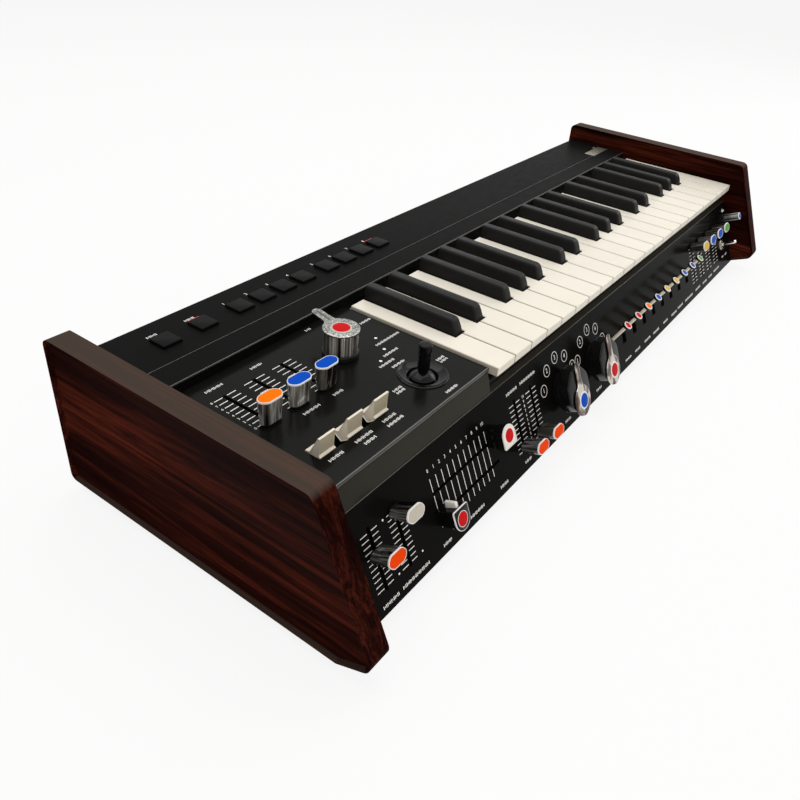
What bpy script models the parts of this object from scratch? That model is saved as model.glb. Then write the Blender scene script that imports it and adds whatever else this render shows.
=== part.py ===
"""Analog synthesizer with 37 keys between two leaning wooden cheeks.

Metres, +Z up, +X along the keyboard, -Y towards the player. The origin is on the floor,
below the middle of the case. Run it with Blender 4.5.
"""

import math

import bmesh
import bpy

# Sheets and running gaps
SHEET = 0.002
GAP = 0.0003
SLOT_GAP = 0.0004

# Heights
FOOT_HEIGHT = 0.008
FOOT_RADIUS = 0.009
FOOT_INSET = 0.030
DECK_TOP = 0.092
KEY_RISE = 0.002
COVER_RISE = 0.007
CHEEK_RISE = 0.018
APRON_HEIGHT = 0.018

# Depths and the lean of the front
CASE_DEPTH = 0.256
PANEL_LEAN = math.radians(24)
PANEL_LENGTH = 0.0715
PANEL_FLANGE = 0.0056
CHEEK_LEAD = 0.0273
CHEEK_NOSE = 0.011
CHEEK_TOE = 0.025
CHEEK_THICKNESS = 0.0165
CHEEK_EDGE = 0.003
COVER_INSET = 0.004
COVER_BEHIND_KEYS = 0.0063
NOSE_ROUNDING = 0.001

# Keyboard: 22 naturals, with a sharp after five of each seven
NATURALS = 22
KEY_PITCH = 0.0242
KEY_GAP = 0.0008
KEY_THICKNESS = 0.007
KEY_LENGTH = 0.1265
KEY_OVERHANG = 0.0016
KEY_MARGIN = 0.0016
KEY_EDGE = 0.0006
KEY_PRESS = math.radians(3.5)
ARM_RADIUS = 0.004
ARM_REACH = 0.0293
ARM_DROP = 0.012
ARM_ROOT = 0.009
OCTAVE = 7
SHARP_SHIFTS = {0: -0.0023, 1: 0.0023, 3: -0.0032, 4: 0.0, 5: 0.0030}
SHARPS_A_COMB = 5
SHARP_LENGTH = 0.082
SHARP_WIDTH = 0.0115
SHARP_TOP_WIDTH = 0.0084
SHARP_RISE = 0.0105
SHARP_SLOPE = 0.0045
SHARP_CHAMFER = 0.0012
SHARP_ARM_WIDTH = 0.009
COMB_BAR = 0.008
COMB_CLEARANCE = 0.002
COVER_CLEARANCE = 0.001

# Control deck, left of the keys
DECK_WIDTH = 0.1770
DECK_REAR_GAP = 0.0006
DECK_LIP = 0.0008
DECK_LEAD = 0.0047
DECK_COLUMN = 0.0370
DECK_PITCH = 0.0246
DECK_COLUMNS = 3
DECK_FADER_FROM_FRONT = 0.0655
FADER_TRAVEL = 0.036
TAB_WIDTH = 0.0133
TAB_RADIUS = 0.00565
TAB_FROM_FRONT = 0.02735
TAB_HEIGHT = 0.0128
TAB_CREST = -0.0042
TAB_CREST_DEPTH = 0.0014
TAB_FIN_FOOT = 0.0010
TAB_FIN_FRONT = -0.0040
TAB_FIN_REAR = 0.0020
MODE_KNOB_FROM_KEYS = 0.0550
MODE_KNOB_FROM_FRONT = 0.0837
MODE_KNOB_TURN = math.radians(13)
KNOB_HEIGHT = 0.021
KNOB_RADIUS = 0.012
KNOB_BASE_RADIUS = 0.0125
KNOB_BASE_HEIGHT = 0.0046
KNOB_PLATE_RADIUS = 0.0124
KNOB_PLATE_THICKNESS = 0.0026
KNOB_POINTER = 0.031
POINTER_SPREAD = math.radians(11)
KNOB_SHAFT_RADIUS = 0.003
STICK_FROM_KEYS = 0.0375
STICK_FROM_FRONT = 0.0287
STICK_HEIGHT = 0.0233
STICK_RADIUS = 0.0042
STICK_GRIP_RADIUS = 0.0046
STICK_GRIP_LENGTH = 0.005
STICK_BALL_RADIUS = 0.0087
STICK_DROP = 0.0085
BALL_FOOT = math.radians(168)
BALL_BANDS = 7
GIMBAL_RADIUS = 0.0142
GIMBAL_THICKNESS = 0.005
COLLAR_WALL = 0.0028
COLLAR_DEPTH = 0.014

# Caps of the slide controls: width, depth and height on the deck and on the front panel
DECK_CAP = (0.018, 0.010, 0.0185)
PANEL_CAP = (0.0165, 0.0092, 0.0166)
CAP_WAIST = 0.9
CAP_FOOT_WIDTH = 0.013
CAP_FOOT_DEPTH = 0.0078
CAP_FOOT_HEIGHT = 0.002
CAP_EDGE = 0.0009
STEM_LENGTH = 0.005
STEM_THICKNESS = 0.0016
STEM_DEPTH = 0.006

# Front panel: places along it from its left end, and down it from its top edge
PAIR_LEFT = 0.0328
PAIR_PITCH = 0.0239
FADER_TOP = -0.0193
VOLUME_AT = -0.0336
TRAVELER_LEFT = 0.0957
TRAVELER_SPREAD = 0.068
TRAVELER_LOW = -0.0466
TRAVELER_HIGH = -0.0300
TRAVELER_WIDTH = 0.0156
TRAVELER_DEPTH = 0.0158
TRAVELER_LOW_SHIFT = -0.0006
TRAVELER_HIGH_SHIFT = 0.0050
TRAVELER_HEIGHT = 0.0155
ENVELOPE_LEFT = 0.2000
ENVELOPE_AT = -0.0523
ROTARY_LEFT = 0.2665
ROTARY_PITCH = 0.0589
ROTARY_DROP = -0.0375
ROTARY_RADIUS = 0.0193
ROTARY_SIDES = 8
ROTARY_NECK_RADIUS = 0.0125
ROTARY_NECK_HEIGHT = 0.0055
ROTARY_BODY_HEIGHT = 0.016
ROTARY_HEIGHT = 0.0185
ROTARY_POINTER = 0.0315
ROTARY_SHAFT_RADIUS = 0.004
PLATE_DROP = 0.0095
GRID_FIRST_FROM_RIGHT = 0.3433
GRID_PITCH = KEY_PITCH
LEVER_BANKS = (5, 4)
LEVER_DROP = -0.0416
LEVER_PIVOT_DEPTH = 0.006
LEVER_TILT = math.radians(37.4)
LEVER_LENGTH = 0.029
LEVER_WIDTH = 0.0062
LEVER_THICKNESS = 0.0028
LEVER_DISC_RADIUS = 0.0038
LEVER_DISC_THICKNESS = 0.003
LEVER_BAR_RADIUS = 0.002
LEVER_BAR_END = 0.005
RIGHT_FADERS = 4
RIGHT_FADER_AT = -0.0188
TOGGLE_DROP = -0.0440
TOGGLE_BALL_RADIUS = 0.0029
TOGGLE_LENGTH = 0.0175
TOGGLE_TILT = math.radians(9)
TOGGLE_TIP_RADIUS = 0.0022
TOGGLE_NECK_RADIUS = 0.0014
TRIM_KNOB_DROP = -0.0132
TRIM_KNOB_RADIUS = 0.0040
TRIM_KNOB_HEIGHT = 0.024
TRIM_SHAFT_RADIUS = 0.0022

# Program buttons in the rear cover
BUTTON_SIZE = 0.0150
BUTTON_RISE = 0.002
BUTTON_FROM_REAR = 0.0262
BUTTONS = 10
BUTTON_PITCH = 0.0218
BUTTON_FIRST_FROM_LEFT = 0.0485
BUTTON_SPACES = {0: 0.0097, 1: 0.0123, 5: 0.0062}
CARRIER_THICKNESS = 0.0032
CARRIER_MARGIN = 0.003
CARRIER_GAP = 0.0005
GROOVE_BEHIND_FRONT = 0.0195
GROOVE_WIDTH = 0.0008
GROOVE_DEPTH = 0.0005

# Inside and the rear sockets
BOARD_HEIGHT = 0.011
BOARD_THICKNESS = 0.0016
BOARD_END = 0.025
BOARD_MARGIN = 0.007
POST_RADIUS = 0.0035
BOARD_PARTS = 6
BOARD_PART_LENGTH = 0.040
BOARD_PART_DEPTH = 0.024
BOARD_PART_HEIGHT = 0.010
TANK_LENGTH = 0.235
TANK_FROM_REAR = 0.006
TANK_FROM_LEG = 0.0037
TANK_HEIGHT = 0.026
TANK_WALL = 0.0015
TANK_X = 0.060
LEG_INSET = 0.010
FRAME_BELOW_PIVOT = 0.024
SOCKET_Z = 0.049
SOCKET_RADIUS = 0.0050
SOCKETS_FROM_RIGHT = (0.060, 0.100, 0.140)
INLET_FROM_LEFT = 0.060
INLET_WIDTH = 0.010
INLET_HEIGHT = 0.012

# Steps round a curve
CORNER_STEPS = 4
SMALL_STEPS = 3
CHEEK_EDGE_STEPS = 3
TAB_FOOT_STEPS = 8
ARM_STEPS = 6
KNOB_POINTS = 48
ROUND_POINTS = 16
BEVEL_FROM = math.radians(30)
SMOOTH_UNDER = math.radians(35)

# Places worked out from the sizes above
CASE_BACK = CASE_DEPTH / 2
CASE_FRONT = -CASE_BACK
INNER_X = (DECK_WIDTH + NATURALS * KEY_PITCH + KEY_MARGIN) / 2
BAY_X = INNER_X - GAP
KEYS_RIGHT = INNER_X - KEY_MARGIN
KEYS_LEFT = KEYS_RIGHT - NATURALS * KEY_PITCH
KEY_TOP = DECK_TOP + KEY_RISE
KEY_BOTTOM = KEY_TOP - KEY_THICKNESS
COVER_TOP = DECK_TOP + COVER_RISE
COVER_UNDER = COVER_TOP - SHEET
CHEEK_TOP = COVER_TOP + CHEEK_RISE
NOSE_Z = FOOT_HEIGHT + CHEEK_NOSE
FLOOR_TOP = FOOT_HEIGHT + SHEET
PANEL_TOP_Z = DECK_TOP - APRON_HEIGHT
CHEEK_TOP_Y = CASE_FRONT + (CHEEK_TOP - NOSE_Z) * math.tan(PANEL_LEAN)
PANEL_TOP_Y = CASE_FRONT + CHEEK_LEAD + (PANEL_TOP_Z - NOSE_Z) * math.tan(PANEL_LEAN)
KEY_FRONT = PANEL_TOP_Y - KEY_OVERHANG
KEY_REAR = KEY_FRONT + KEY_LENGTH
PIVOT_Y = KEY_REAR + ARM_REACH
PIVOT_Z = KEY_TOP - ARM_DROP
SHARP_FRONT = KEY_REAR - SHARP_LENGTH
COVER_FRONT = KEY_REAR + COVER_BEHIND_KEYS
COVER_BACK = CASE_BACK - COVER_INSET
DECK_FRONT = PANEL_TOP_Y + DECK_LEAD
DECK_RIGHT = KEYS_LEFT - DECK_LIP
DECK_FADER_FRONT = DECK_FRONT + DECK_FADER_FROM_FRONT
TAB_Y = DECK_FRONT + TAB_FROM_FRONT
STICK_X = KEYS_LEFT - STICK_FROM_KEYS
STICK_Y = DECK_FRONT + STICK_FROM_FRONT
STICK_CENTRE_Z = DECK_TOP - STICK_DROP
MODE_KNOB_X = KEYS_LEFT - MODE_KNOB_FROM_KEYS
MODE_KNOB_Y = DECK_FRONT + MODE_KNOB_FROM_FRONT
GRID_X = INNER_X - GRID_FIRST_FROM_RIGHT
TRAVELER_X = TRAVELER_LEFT - INNER_X
BUTTON_Y = COVER_BACK - BUTTON_FROM_REAR
FRAME_FRONT = PANEL_TOP_Y + PANEL_FLANGE + 2 * GAP
FRAME_REAR = PIVOT_Y + ARM_RADIUS + GAP
LEG_FRONT = FRAME_FRONT + LEG_INSET
LEG_BACK = FRAME_REAR - LEG_INSET - SHEET
BOARD_LENGTH = 2 * (BAY_X - BOARD_END)
BOARD_FRONT = LEG_FRONT + SHEET + BOARD_MARGIN
BOARD_BACK = LEG_BACK - BOARD_MARGIN
TANK_FRONT = LEG_BACK + SHEET + TANK_FROM_LEG
TANK_BACK = COVER_BACK - SHEET - TANK_FROM_REAR
SIDE_ON = math.pi / 2 - PANEL_LEAN


def clear_scene():
    for obj in list(bpy.data.objects):
        bpy.data.objects.remove(obj, do_unlink=True)


def finish(name, colour, roughness, metallic):
    material = bpy.data.materials.new(name)
    material.use_nodes = True
    shader = material.node_tree.nodes["Principled BSDF"]
    shader.inputs["Base Color"].default_value = (*colour, 1.0)
    shader.inputs["Roughness"].default_value = roughness
    shader.inputs["Metallic"].default_value = metallic
    return material


FINISHES = {
    "wood": ((0.075, 0.020, 0.012), 0.38, 0.0),
    "black": ((0.016, 0.016, 0.016), 0.42, 0.0),
    "ivory": ((0.86, 0.82, 0.72), 0.35, 0.0),
    "sharp": ((0.018, 0.017, 0.018), 0.55, 0.0),
    "cream": ((0.85, 0.81, 0.69), 0.4, 0.0),
    "chrome": ((0.72, 0.72, 0.72), 0.15, 1.0),
    "steel": ((0.45, 0.46, 0.48), 0.45, 1.0),
    "board": ((0.02, 0.13, 0.06), 0.5, 0.0),
    "rubber": ((0.014, 0.014, 0.014), 0.7, 0.0),
}


def add_loft(bm, rings, looped=False):
    """Skin rings that have the same number of points, and close both ends or join last to first."""
    loops = [[bm.verts.new(point) for point in ring] for ring in rings]
    pairs = list(zip(loops, loops[1:]))
    if looped:
        pairs.append((loops[-1], loops[0]))
    else:
        bm.faces.new(loops[0][::-1])
        bm.faces.new(loops[-1])
    for low, high in pairs:
        for i in range(len(low)):
            j = (i + 1) % len(low)
            bm.faces.new((low[i], low[j], high[j], high[i]))


def make(name, lofts, look=None, parent=None, place=(0, 0, 0), turn=(0, 0, 0), smooth=False, looped=False):
    """An object from one or more lofts. Without a look it is a helper, left out of the model."""
    bm = bmesh.new()
    for rings in lofts:
        add_loft(bm, rings, looped)
    bmesh.ops.recalc_face_normals(bm, faces=bm.faces)
    mesh = bpy.data.meshes.new(name)
    bm.to_mesh(mesh)
    bm.free()
    if smooth:
        mesh.shade_smooth()
        mesh.set_sharp_from_angle(angle=SMOOTH_UNDER)
    obj = bpy.data.objects.new(name, mesh)
    bpy.context.scene.collection.objects.link(obj)
    obj.parent = parent
    obj.location = place
    obj.rotation_euler = turn
    if look:
        mesh.materials.append(finish(name, *FINISHES[look]))
    else:
        obj.hide_render = True
        obj.display_type = "WIRE"
    return obj


def combine(target, helper, operation):
    modifier = target.modifiers.new(operation.lower(), "BOOLEAN")
    modifier.operation = operation
    modifier.solver = "EXACT"
    modifier.object = helper


def bevel(target, width, segments):
    modifier = target.modifiers.new("edges", "BEVEL")
    modifier.width = width
    modifier.segments = segments
    modifier.limit_method = "ANGLE"
    modifier.angle_limit = BEVEL_FROM


def box(low, high):
    (x0, y0, z0), (x1, y1, z1) = low, high
    corners = ((x0, y0), (x1, y0), (x1, y1), (x0, y1))
    return [[(x, y, z0) for x, y in corners], [(x, y, z1) for x, y in corners]]


def along_x(profile, x0, x1):
    return [[(x, y, z) for y, z in profile] for x in (x0, x1)]


def stack(levels, shift=(0, 0)):
    """Rings from (height, outline) pairs."""
    return [[(x + shift[0], y + shift[1], height) for x, y in outline] for height, outline in levels]


def circle(radius, count, turn=0.5):
    angles = [(i + turn) * math.tau / count for i in range(count)]
    return [(radius * math.sin(angle), radius * math.cos(angle)) for angle in angles]


def faceted(radius, sides):
    """A regular polygon with a flat at its top, given as many points as a knob's circle."""
    side = math.tau / sides
    points = []
    for i in range(KNOB_POINTS):
        angle = (i + 0.5) * math.tau / KNOB_POINTS
        off = (angle + side / 2) % side - side / 2
        reach = radius * math.cos(side / 2) / math.cos(off)
        points.append((reach * math.sin(angle), reach * math.cos(angle)))
    return points


def rod_along_x(radius, x0, x1):
    return [[(x, a, b) for a, b in circle(radius, ROUND_POINTS)] for x in (x0, x1)]


def rounded(width, depth, radii, steps=CORNER_STEPS):
    """A rectangle whose four corners, from +X+Y round to +X-Y, are arcs with a flat at each side."""
    half_step = math.pi / 4 / steps
    points = []
    for corner, (side_x, side_y) in enumerate(((1, 1), (-1, 1), (-1, -1), (1, -1))):
        radius = min(radii[corner], width / 2, depth / 2)
        reach = radius / math.cos(half_step)
        for step in range(steps):
            angle = math.pi / 2 * corner + half_step * (2 * step + 1)
            x = side_x * (width / 2 - radius) + reach * math.cos(angle)
            y = side_y * (depth / 2 - radius) + reach * math.sin(angle)
            points.append((x, y))
    return points


def stadium(width, depth, steps=CORNER_STEPS):
    return rounded(width, depth, (min(width, depth) / 2,) * 4, steps)


def pointer_outline(radius, length, grow=0.0):
    """A circle drawn out into a pointer: the radius swells by a bell curve about +Y."""
    points = []
    for i in range(KNOB_POINTS):
        angle = (i + 0.5) * math.tau / KNOB_POINTS
        off_tip = min(angle, math.tau - angle)
        swell = math.exp(-((off_tip / POINTER_SPREAD) ** 4))
        reach = radius + (length - radius) * swell + grow
        points.append((reach * math.sin(angle), reach * math.cos(angle)))
    return points


def make_cheek(name, side):
    profile = (
        (CASE_BACK, FOOT_HEIGHT),
        (CASE_BACK, CHEEK_TOP),
        (CHEEK_TOP_Y, CHEEK_TOP),
        (CASE_FRONT - NOSE_ROUNDING, NOSE_Z),
        (CASE_FRONT + CHEEK_TOE, FOOT_HEIGHT),
    )
    cheek = make(name, [along_x(profile, side * INNER_X, side * (INNER_X + CHEEK_THICKNESS))], "wood")
    bevel(cheek, CHEEK_EDGE, CHEEK_EDGE_STEPS)


def panel_y(z, behind):
    """y at height z of a plane parallel to the front panel, that far behind its face."""
    return PANEL_TOP_Y - (PANEL_TOP_Z - z) * math.tan(PANEL_LEAN) + behind / math.cos(PANEL_LEAN)


def make_bottom_pan():
    front = panel_y(FLOOR_TOP, SHEET) + GAP
    wall_top = COVER_UNDER - GAP
    profile = (
        (front, FOOT_HEIGHT),
        (COVER_BACK, FOOT_HEIGHT),
        (COVER_BACK, wall_top),
        (COVER_BACK - SHEET, wall_top),
        (COVER_BACK - SHEET, FLOOR_TOP),
        (front, FLOOR_TOP),
    )
    pan = make("bottom_pan", [along_x(profile, -BAY_X, BAY_X)], "black")
    feet = []
    foot = stadium(2 * FOOT_RADIUS, 2 * FOOT_RADIUS)
    for x in (-BAY_X + FOOT_INSET, BAY_X - FOOT_INSET):
        for y in (front + FOOT_INSET, COVER_BACK - FOOT_INSET):
            feet.append(stack(((0, foot), (FOOT_HEIGHT + SHEET / 2, foot)), (x, y)))
    combine(pan, make("feet", feet), "UNION")
    hole = stadium(2 * SOCKET_RADIUS, 2 * SOCKET_RADIUS)
    depths = (COVER_BACK - 2 * SHEET, COVER_BACK + SHEET)
    holes = []
    for from_right in SOCKETS_FROM_RIGHT:
        holes.append([[(INNER_X - from_right + a, y, SOCKET_Z + b) for a, b in hole] for y in depths])
    inlet_x = INLET_FROM_LEFT - INNER_X
    holes.append(
        box(
            (inlet_x - INLET_WIDTH / 2, depths[0], SOCKET_Z - INLET_HEIGHT / 2),
            (inlet_x + INLET_WIDTH / 2, depths[1], SOCKET_Z + INLET_HEIGHT / 2),
        )
    )
    combine(pan, make("socket_holes", holes), "DIFFERENCE")


def button_places():
    """x of each program button, with the wider spaces after some of them."""
    places = [BUTTON_FIRST_FROM_LEFT - INNER_X]
    for i in range(BUTTONS - 1):
        places.append(places[-1] + BUTTON_PITCH + BUTTON_SPACES.get(i, 0))
    return places


def button_boxes(half, low, high):
    return [box((x - half, BUTTON_Y - half, low), (x + half, BUTTON_Y + half, high)) for x in button_places()]


def make_top_cover():
    wall_bottom = PIVOT_Z + ARM_RADIUS + COVER_CLEARANCE
    groove = COVER_FRONT + GROOVE_BEHIND_FRONT
    profile = (
        (COVER_FRONT, wall_bottom),
        (COVER_FRONT, COVER_TOP),
        (groove, COVER_TOP),
        (groove, COVER_TOP - GROOVE_DEPTH),
        (groove + GROOVE_WIDTH, COVER_TOP - GROOVE_DEPTH),
        (groove + GROOVE_WIDTH, COVER_TOP),
        (COVER_BACK, COVER_TOP),
        (COVER_BACK, COVER_UNDER),
        (COVER_FRONT + SHEET, COVER_UNDER),
        (COVER_FRONT + SHEET, wall_bottom),
    )
    cover = make("top_cover", [along_x(profile, -BAY_X, BAY_X)], "black")
    half = BUTTON_SIZE / 2 + SLOT_GAP
    holes = button_boxes(half, COVER_UNDER - SHEET, COVER_TOP + SHEET)
    combine(cover, make("button_holes", holes), "DIFFERENCE")


def make_program_buttons():
    top = COVER_UNDER - CARRIER_GAP
    bottom = top - CARRIER_THICKNESS
    places = button_places()
    margin = BUTTON_SIZE / 2 + CARRIER_MARGIN
    centre = (places[0] + places[-1]) / 2
    low = (places[0] - margin - centre, -margin, bottom - COVER_TOP)
    high = (places[-1] + margin - centre, margin, top - COVER_TOP)
    here = (centre, BUTTON_Y, COVER_TOP)
    carrier = make("program_buttons", [box(low, high)], "black", place=here)
    caps = button_boxes(BUTTON_SIZE / 2, (bottom + top) / 2, COVER_TOP + BUTTON_RISE)
    combine(carrier, make("button_caps", caps), "UNION")


def make_control_deck():
    under = DECK_TOP - SHEET
    rear = COVER_FRONT - DECK_REAR_GAP
    foot_z = PANEL_TOP_Z + GAP
    foot_y = PANEL_TOP_Y + DECK_LIP
    profile = (
        (DECK_FRONT, DECK_TOP),
        (rear, DECK_TOP),
        (rear, under),
        (DECK_FRONT + DECK_LIP + SHEET, under),
        (foot_y + SHEET, foot_z),
        (foot_y, foot_z),
        (DECK_FRONT + DECK_LIP, under),
        (DECK_FRONT, under),
    )
    deck = make("control_deck", [along_x(profile, -BAY_X, DECK_RIGHT)], "black")
    side_low = (DECK_RIGHT - SHEET, foot_y + 2 * SHEET, KEY_BOTTOM - APRON_HEIGHT / 2)
    side = box(side_low, (DECK_RIGHT, rear - SHEET, under + SHEET / 2))
    collar = circle(GIMBAL_RADIUS + GAP + COLLAR_WALL, KNOB_POINTS)
    collar_levels = ((under - COLLAR_DEPTH, collar), (under + SHEET / 2, collar))
    combine(deck, make("deck_walls", [side, stack(collar_levels, (STICK_X, STICK_Y))]), "UNION")
    combine(deck, make("deck_cuts", deck_cuts(under)), "DIFFERENCE")


def deck_cuts(under):
    low, high = under - SHEET, DECK_TOP + SHEET
    cuts = []
    slot_half = STEM_THICKNESS / 2 + SLOT_GAP
    stem_half = STEM_LENGTH / 2 + 2 * SLOT_GAP
    for column in range(DECK_COLUMNS):
        x = deck_column(column)
        ends = (DECK_FADER_FRONT - stem_half, DECK_FADER_FRONT + FADER_TRAVEL + stem_half)
        cuts.append(box((x - slot_half, ends[0], low), (x + slot_half, ends[1], high)))
    tab_half = TAB_RADIUS + GAP
    first, last = deck_column(0), deck_column(DECK_COLUMNS - 1)
    reach = TAB_WIDTH / 2 + SLOT_GAP
    cuts.append(box((first - reach, TAB_Y - tab_half, low), (last + reach, TAB_Y + tab_half, high)))
    shaft = circle(KNOB_SHAFT_RADIUS + GAP, ROUND_POINTS)
    cuts.append(stack(((low, shaft), (high, shaft)), (MODE_KNOB_X, MODE_KNOB_Y)))
    bore = circle(GIMBAL_RADIUS + GAP, KNOB_POINTS)
    cuts.append(stack(((under - COLLAR_DEPTH - SHEET, bore), (high, bore)), (STICK_X, STICK_Y)))
    return cuts


def deck_column(column):
    return DECK_COLUMN - INNER_X + column * DECK_PITCH


def cap_levels(foot_width, foot_depth, top_outline, waist_outline, stem, height):
    """Levels of a slide control: stem below the panel, foot, waisted body and rounded top."""
    foot = rounded(foot_width, foot_depth, (CAP_FOOT_DEPTH / 3,) * 4)
    crown = [(x * CAP_WAIST, y * CAP_WAIST) for x, y in top_outline]
    return (
        (-STEM_DEPTH, stem),
        (GAP, stem),
        (GAP, foot),
        (CAP_FOOT_HEIGHT, foot),
        (CAP_FOOT_HEIGHT, waist_outline),
        (height - 2 * CAP_EDGE, top_outline),
        (height - CAP_EDGE, top_outline),
        (height, crown),
    )


def make_fader(name, parent, place, size):
    """A stadium cap on a stem that slides along its parent's y."""
    width, depth, height = size
    top = stadium(width, depth)
    waist = [(x * CAP_WAIST, y * CAP_WAIST) for x, y in top]
    stem = stadium(STEM_THICKNESS, STEM_LENGTH)
    levels = cap_levels(CAP_FOOT_WIDTH, CAP_FOOT_DEPTH, top, waist, stem, height)
    make(name, [stack(levels)], "chrome", parent, place, smooth=True)


def make_traveler(name, parent, place, side, shift):
    """A cap with one straight and one round edge, off the middle of its stem, which slides along x."""
    round_end = TRAVELER_WIDTH / 2
    corners = (round_end, round_end, CAP_EDGE, CAP_EDGE)
    if side < 0:
        corners = corners[::-1]
    top = [(x, y + shift) for x, y in rounded(TRAVELER_WIDTH, TRAVELER_DEPTH, corners)]
    waist = [(x * CAP_WAIST, shift + (y - shift) * CAP_WAIST) for x, y in top]
    stem = stadium(STEM_LENGTH, STEM_THICKNESS)
    levels = (
        (-STEM_DEPTH, stem),
        (GAP, stem),
        (GAP, waist),
        (TRAVELER_HEIGHT - 2 * CAP_EDGE, top),
        (TRAVELER_HEIGHT - CAP_EDGE, top),
        (TRAVELER_HEIGHT, waist),
    )
    make(name, [stack(levels)], "chrome", parent, place, smooth=True)


def make_mode_knob():
    shaft = circle(KNOB_SHAFT_RADIUS, KNOB_POINTS)
    base = circle(KNOB_BASE_RADIUS, KNOB_POINTS)
    body = circle(KNOB_RADIUS, KNOB_POINTS)
    plate = pointer_outline(KNOB_PLATE_RADIUS, KNOB_POINTER)
    crown = pointer_outline(KNOB_PLATE_RADIUS, KNOB_POINTER, -CAP_EDGE)
    plate_low = KNOB_HEIGHT - KNOB_PLATE_THICKNESS
    levels = (
        (-STEM_DEPTH, shaft),
        (GAP, shaft),
        (GAP, base),
        (KNOB_BASE_HEIGHT, base),
        (KNOB_BASE_HEIGHT, body),
        (plate_low - CAP_EDGE, body),
        (plate_low, plate),
        (KNOB_HEIGHT - CAP_EDGE, plate),
        (KNOB_HEIGHT, crown),
    )
    here = (MODE_KNOB_X, MODE_KNOB_Y, DECK_TOP)
    make("mode_knob", [stack(levels)], "chrome", place=here, turn=(0, 0, -MODE_KNOB_TURN), smooth=True)


def make_joystick():
    """A stick with a ball, held by a ring that tilts the other way inside the deck's collar."""
    ball = []
    neck = math.asin(STICK_RADIUS / STICK_BALL_RADIUS)
    for i in range(BALL_BANDS + 1):
        angle = BALL_FOOT + (neck - BALL_FOOT) * i / BALL_BANDS
        ring = circle(STICK_BALL_RADIUS * math.sin(angle), ROUND_POINTS)
        ball.append((STICK_BALL_RADIUS * math.cos(angle), ring))
    top = STICK_DROP + STICK_HEIGHT
    grip_low = top - STICK_GRIP_LENGTH
    levels = (
        *ball,
        (grip_low - STICK_GRIP_RADIUS, circle(STICK_RADIUS, ROUND_POINTS)),
        (grip_low, circle(STICK_GRIP_RADIUS, ROUND_POINTS)),
        (top - 2 * CAP_EDGE, circle(STICK_GRIP_RADIUS, ROUND_POINTS)),
        (top, circle(STICK_GRIP_RADIUS - 2 * CAP_EDGE, ROUND_POINTS)),
    )
    centre = (STICK_X, STICK_Y, STICK_CENTRE_Z)
    make("joystick", [stack(levels)], "rubber", place=centre, smooth=True)
    half = GIMBAL_THICKNESS / 2
    outer = circle(GIMBAL_RADIUS, KNOB_POINTS)
    inner = circle(STICK_BALL_RADIUS + GAP, KNOB_POINTS)
    levels = ((-half, outer), (half, outer), (half, inner), (-half, inner))
    make("joystick_gimbal", [stack(levels)], "steel", place=centre, smooth=True, looped=True)


def make_tabs():
    """Fin-shaped tabs with a half-round foot about their own axis."""
    foot = []
    for i in range(TAB_FOOT_STEPS + 1):
        angle = math.pi + math.pi * i / TAB_FOOT_STEPS
        foot.append((-TAB_RADIUS * math.cos(angle), TAB_RADIUS * math.sin(angle)))
    crest_half = TAB_CREST_DEPTH / 2
    front_foot = (TAB_FIN_FRONT, TAB_FIN_FOOT)
    rear_foot = (TAB_FIN_REAR, TAB_FIN_FOOT)
    crest = ((TAB_CREST - crest_half, TAB_HEIGHT), (TAB_CREST + crest_half, TAB_HEIGHT))
    profile = (*foot, front_foot, *crest, rear_foot)
    for column in range(DECK_COLUMNS):
        here = (deck_column(column), TAB_Y, DECK_TOP)
        name = f"rocker_tab_{column + 1}"
        make(name, [along_x(profile, -TAB_WIDTH / 2, TAB_WIDTH / 2)], "cream", place=here)


def make_front_panel(plane):
    sin, cos = math.sin(PANEL_LEAN), math.cos(PANEL_LEAN)
    foot = (PANEL_TOP_Y - PANEL_LENGTH * sin, PANEL_TOP_Z - PANEL_LENGTH * cos)
    back_y = PANEL_TOP_Y + PANEL_FLANGE
    under = PANEL_TOP_Z - SHEET
    profile = (
        (PANEL_TOP_Y, PANEL_TOP_Z),
        foot,
        (foot[0] + SHEET * cos, foot[1] - SHEET * sin),
        (panel_y(under, SHEET), under),
        (back_y, under),
        (back_y, PANEL_TOP_Z),
    )
    panel = make("front_panel", [along_x(profile, -BAY_X, BAY_X)], "black")
    combine(panel, make("panel_cuts", panel_cuts(), parent=plane), "DIFFERENCE")


def slot(x, v_low, v_high, half_width):
    return box((x - half_width, v_low, -2 * SHEET), (x + half_width, v_high, SHEET))


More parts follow.
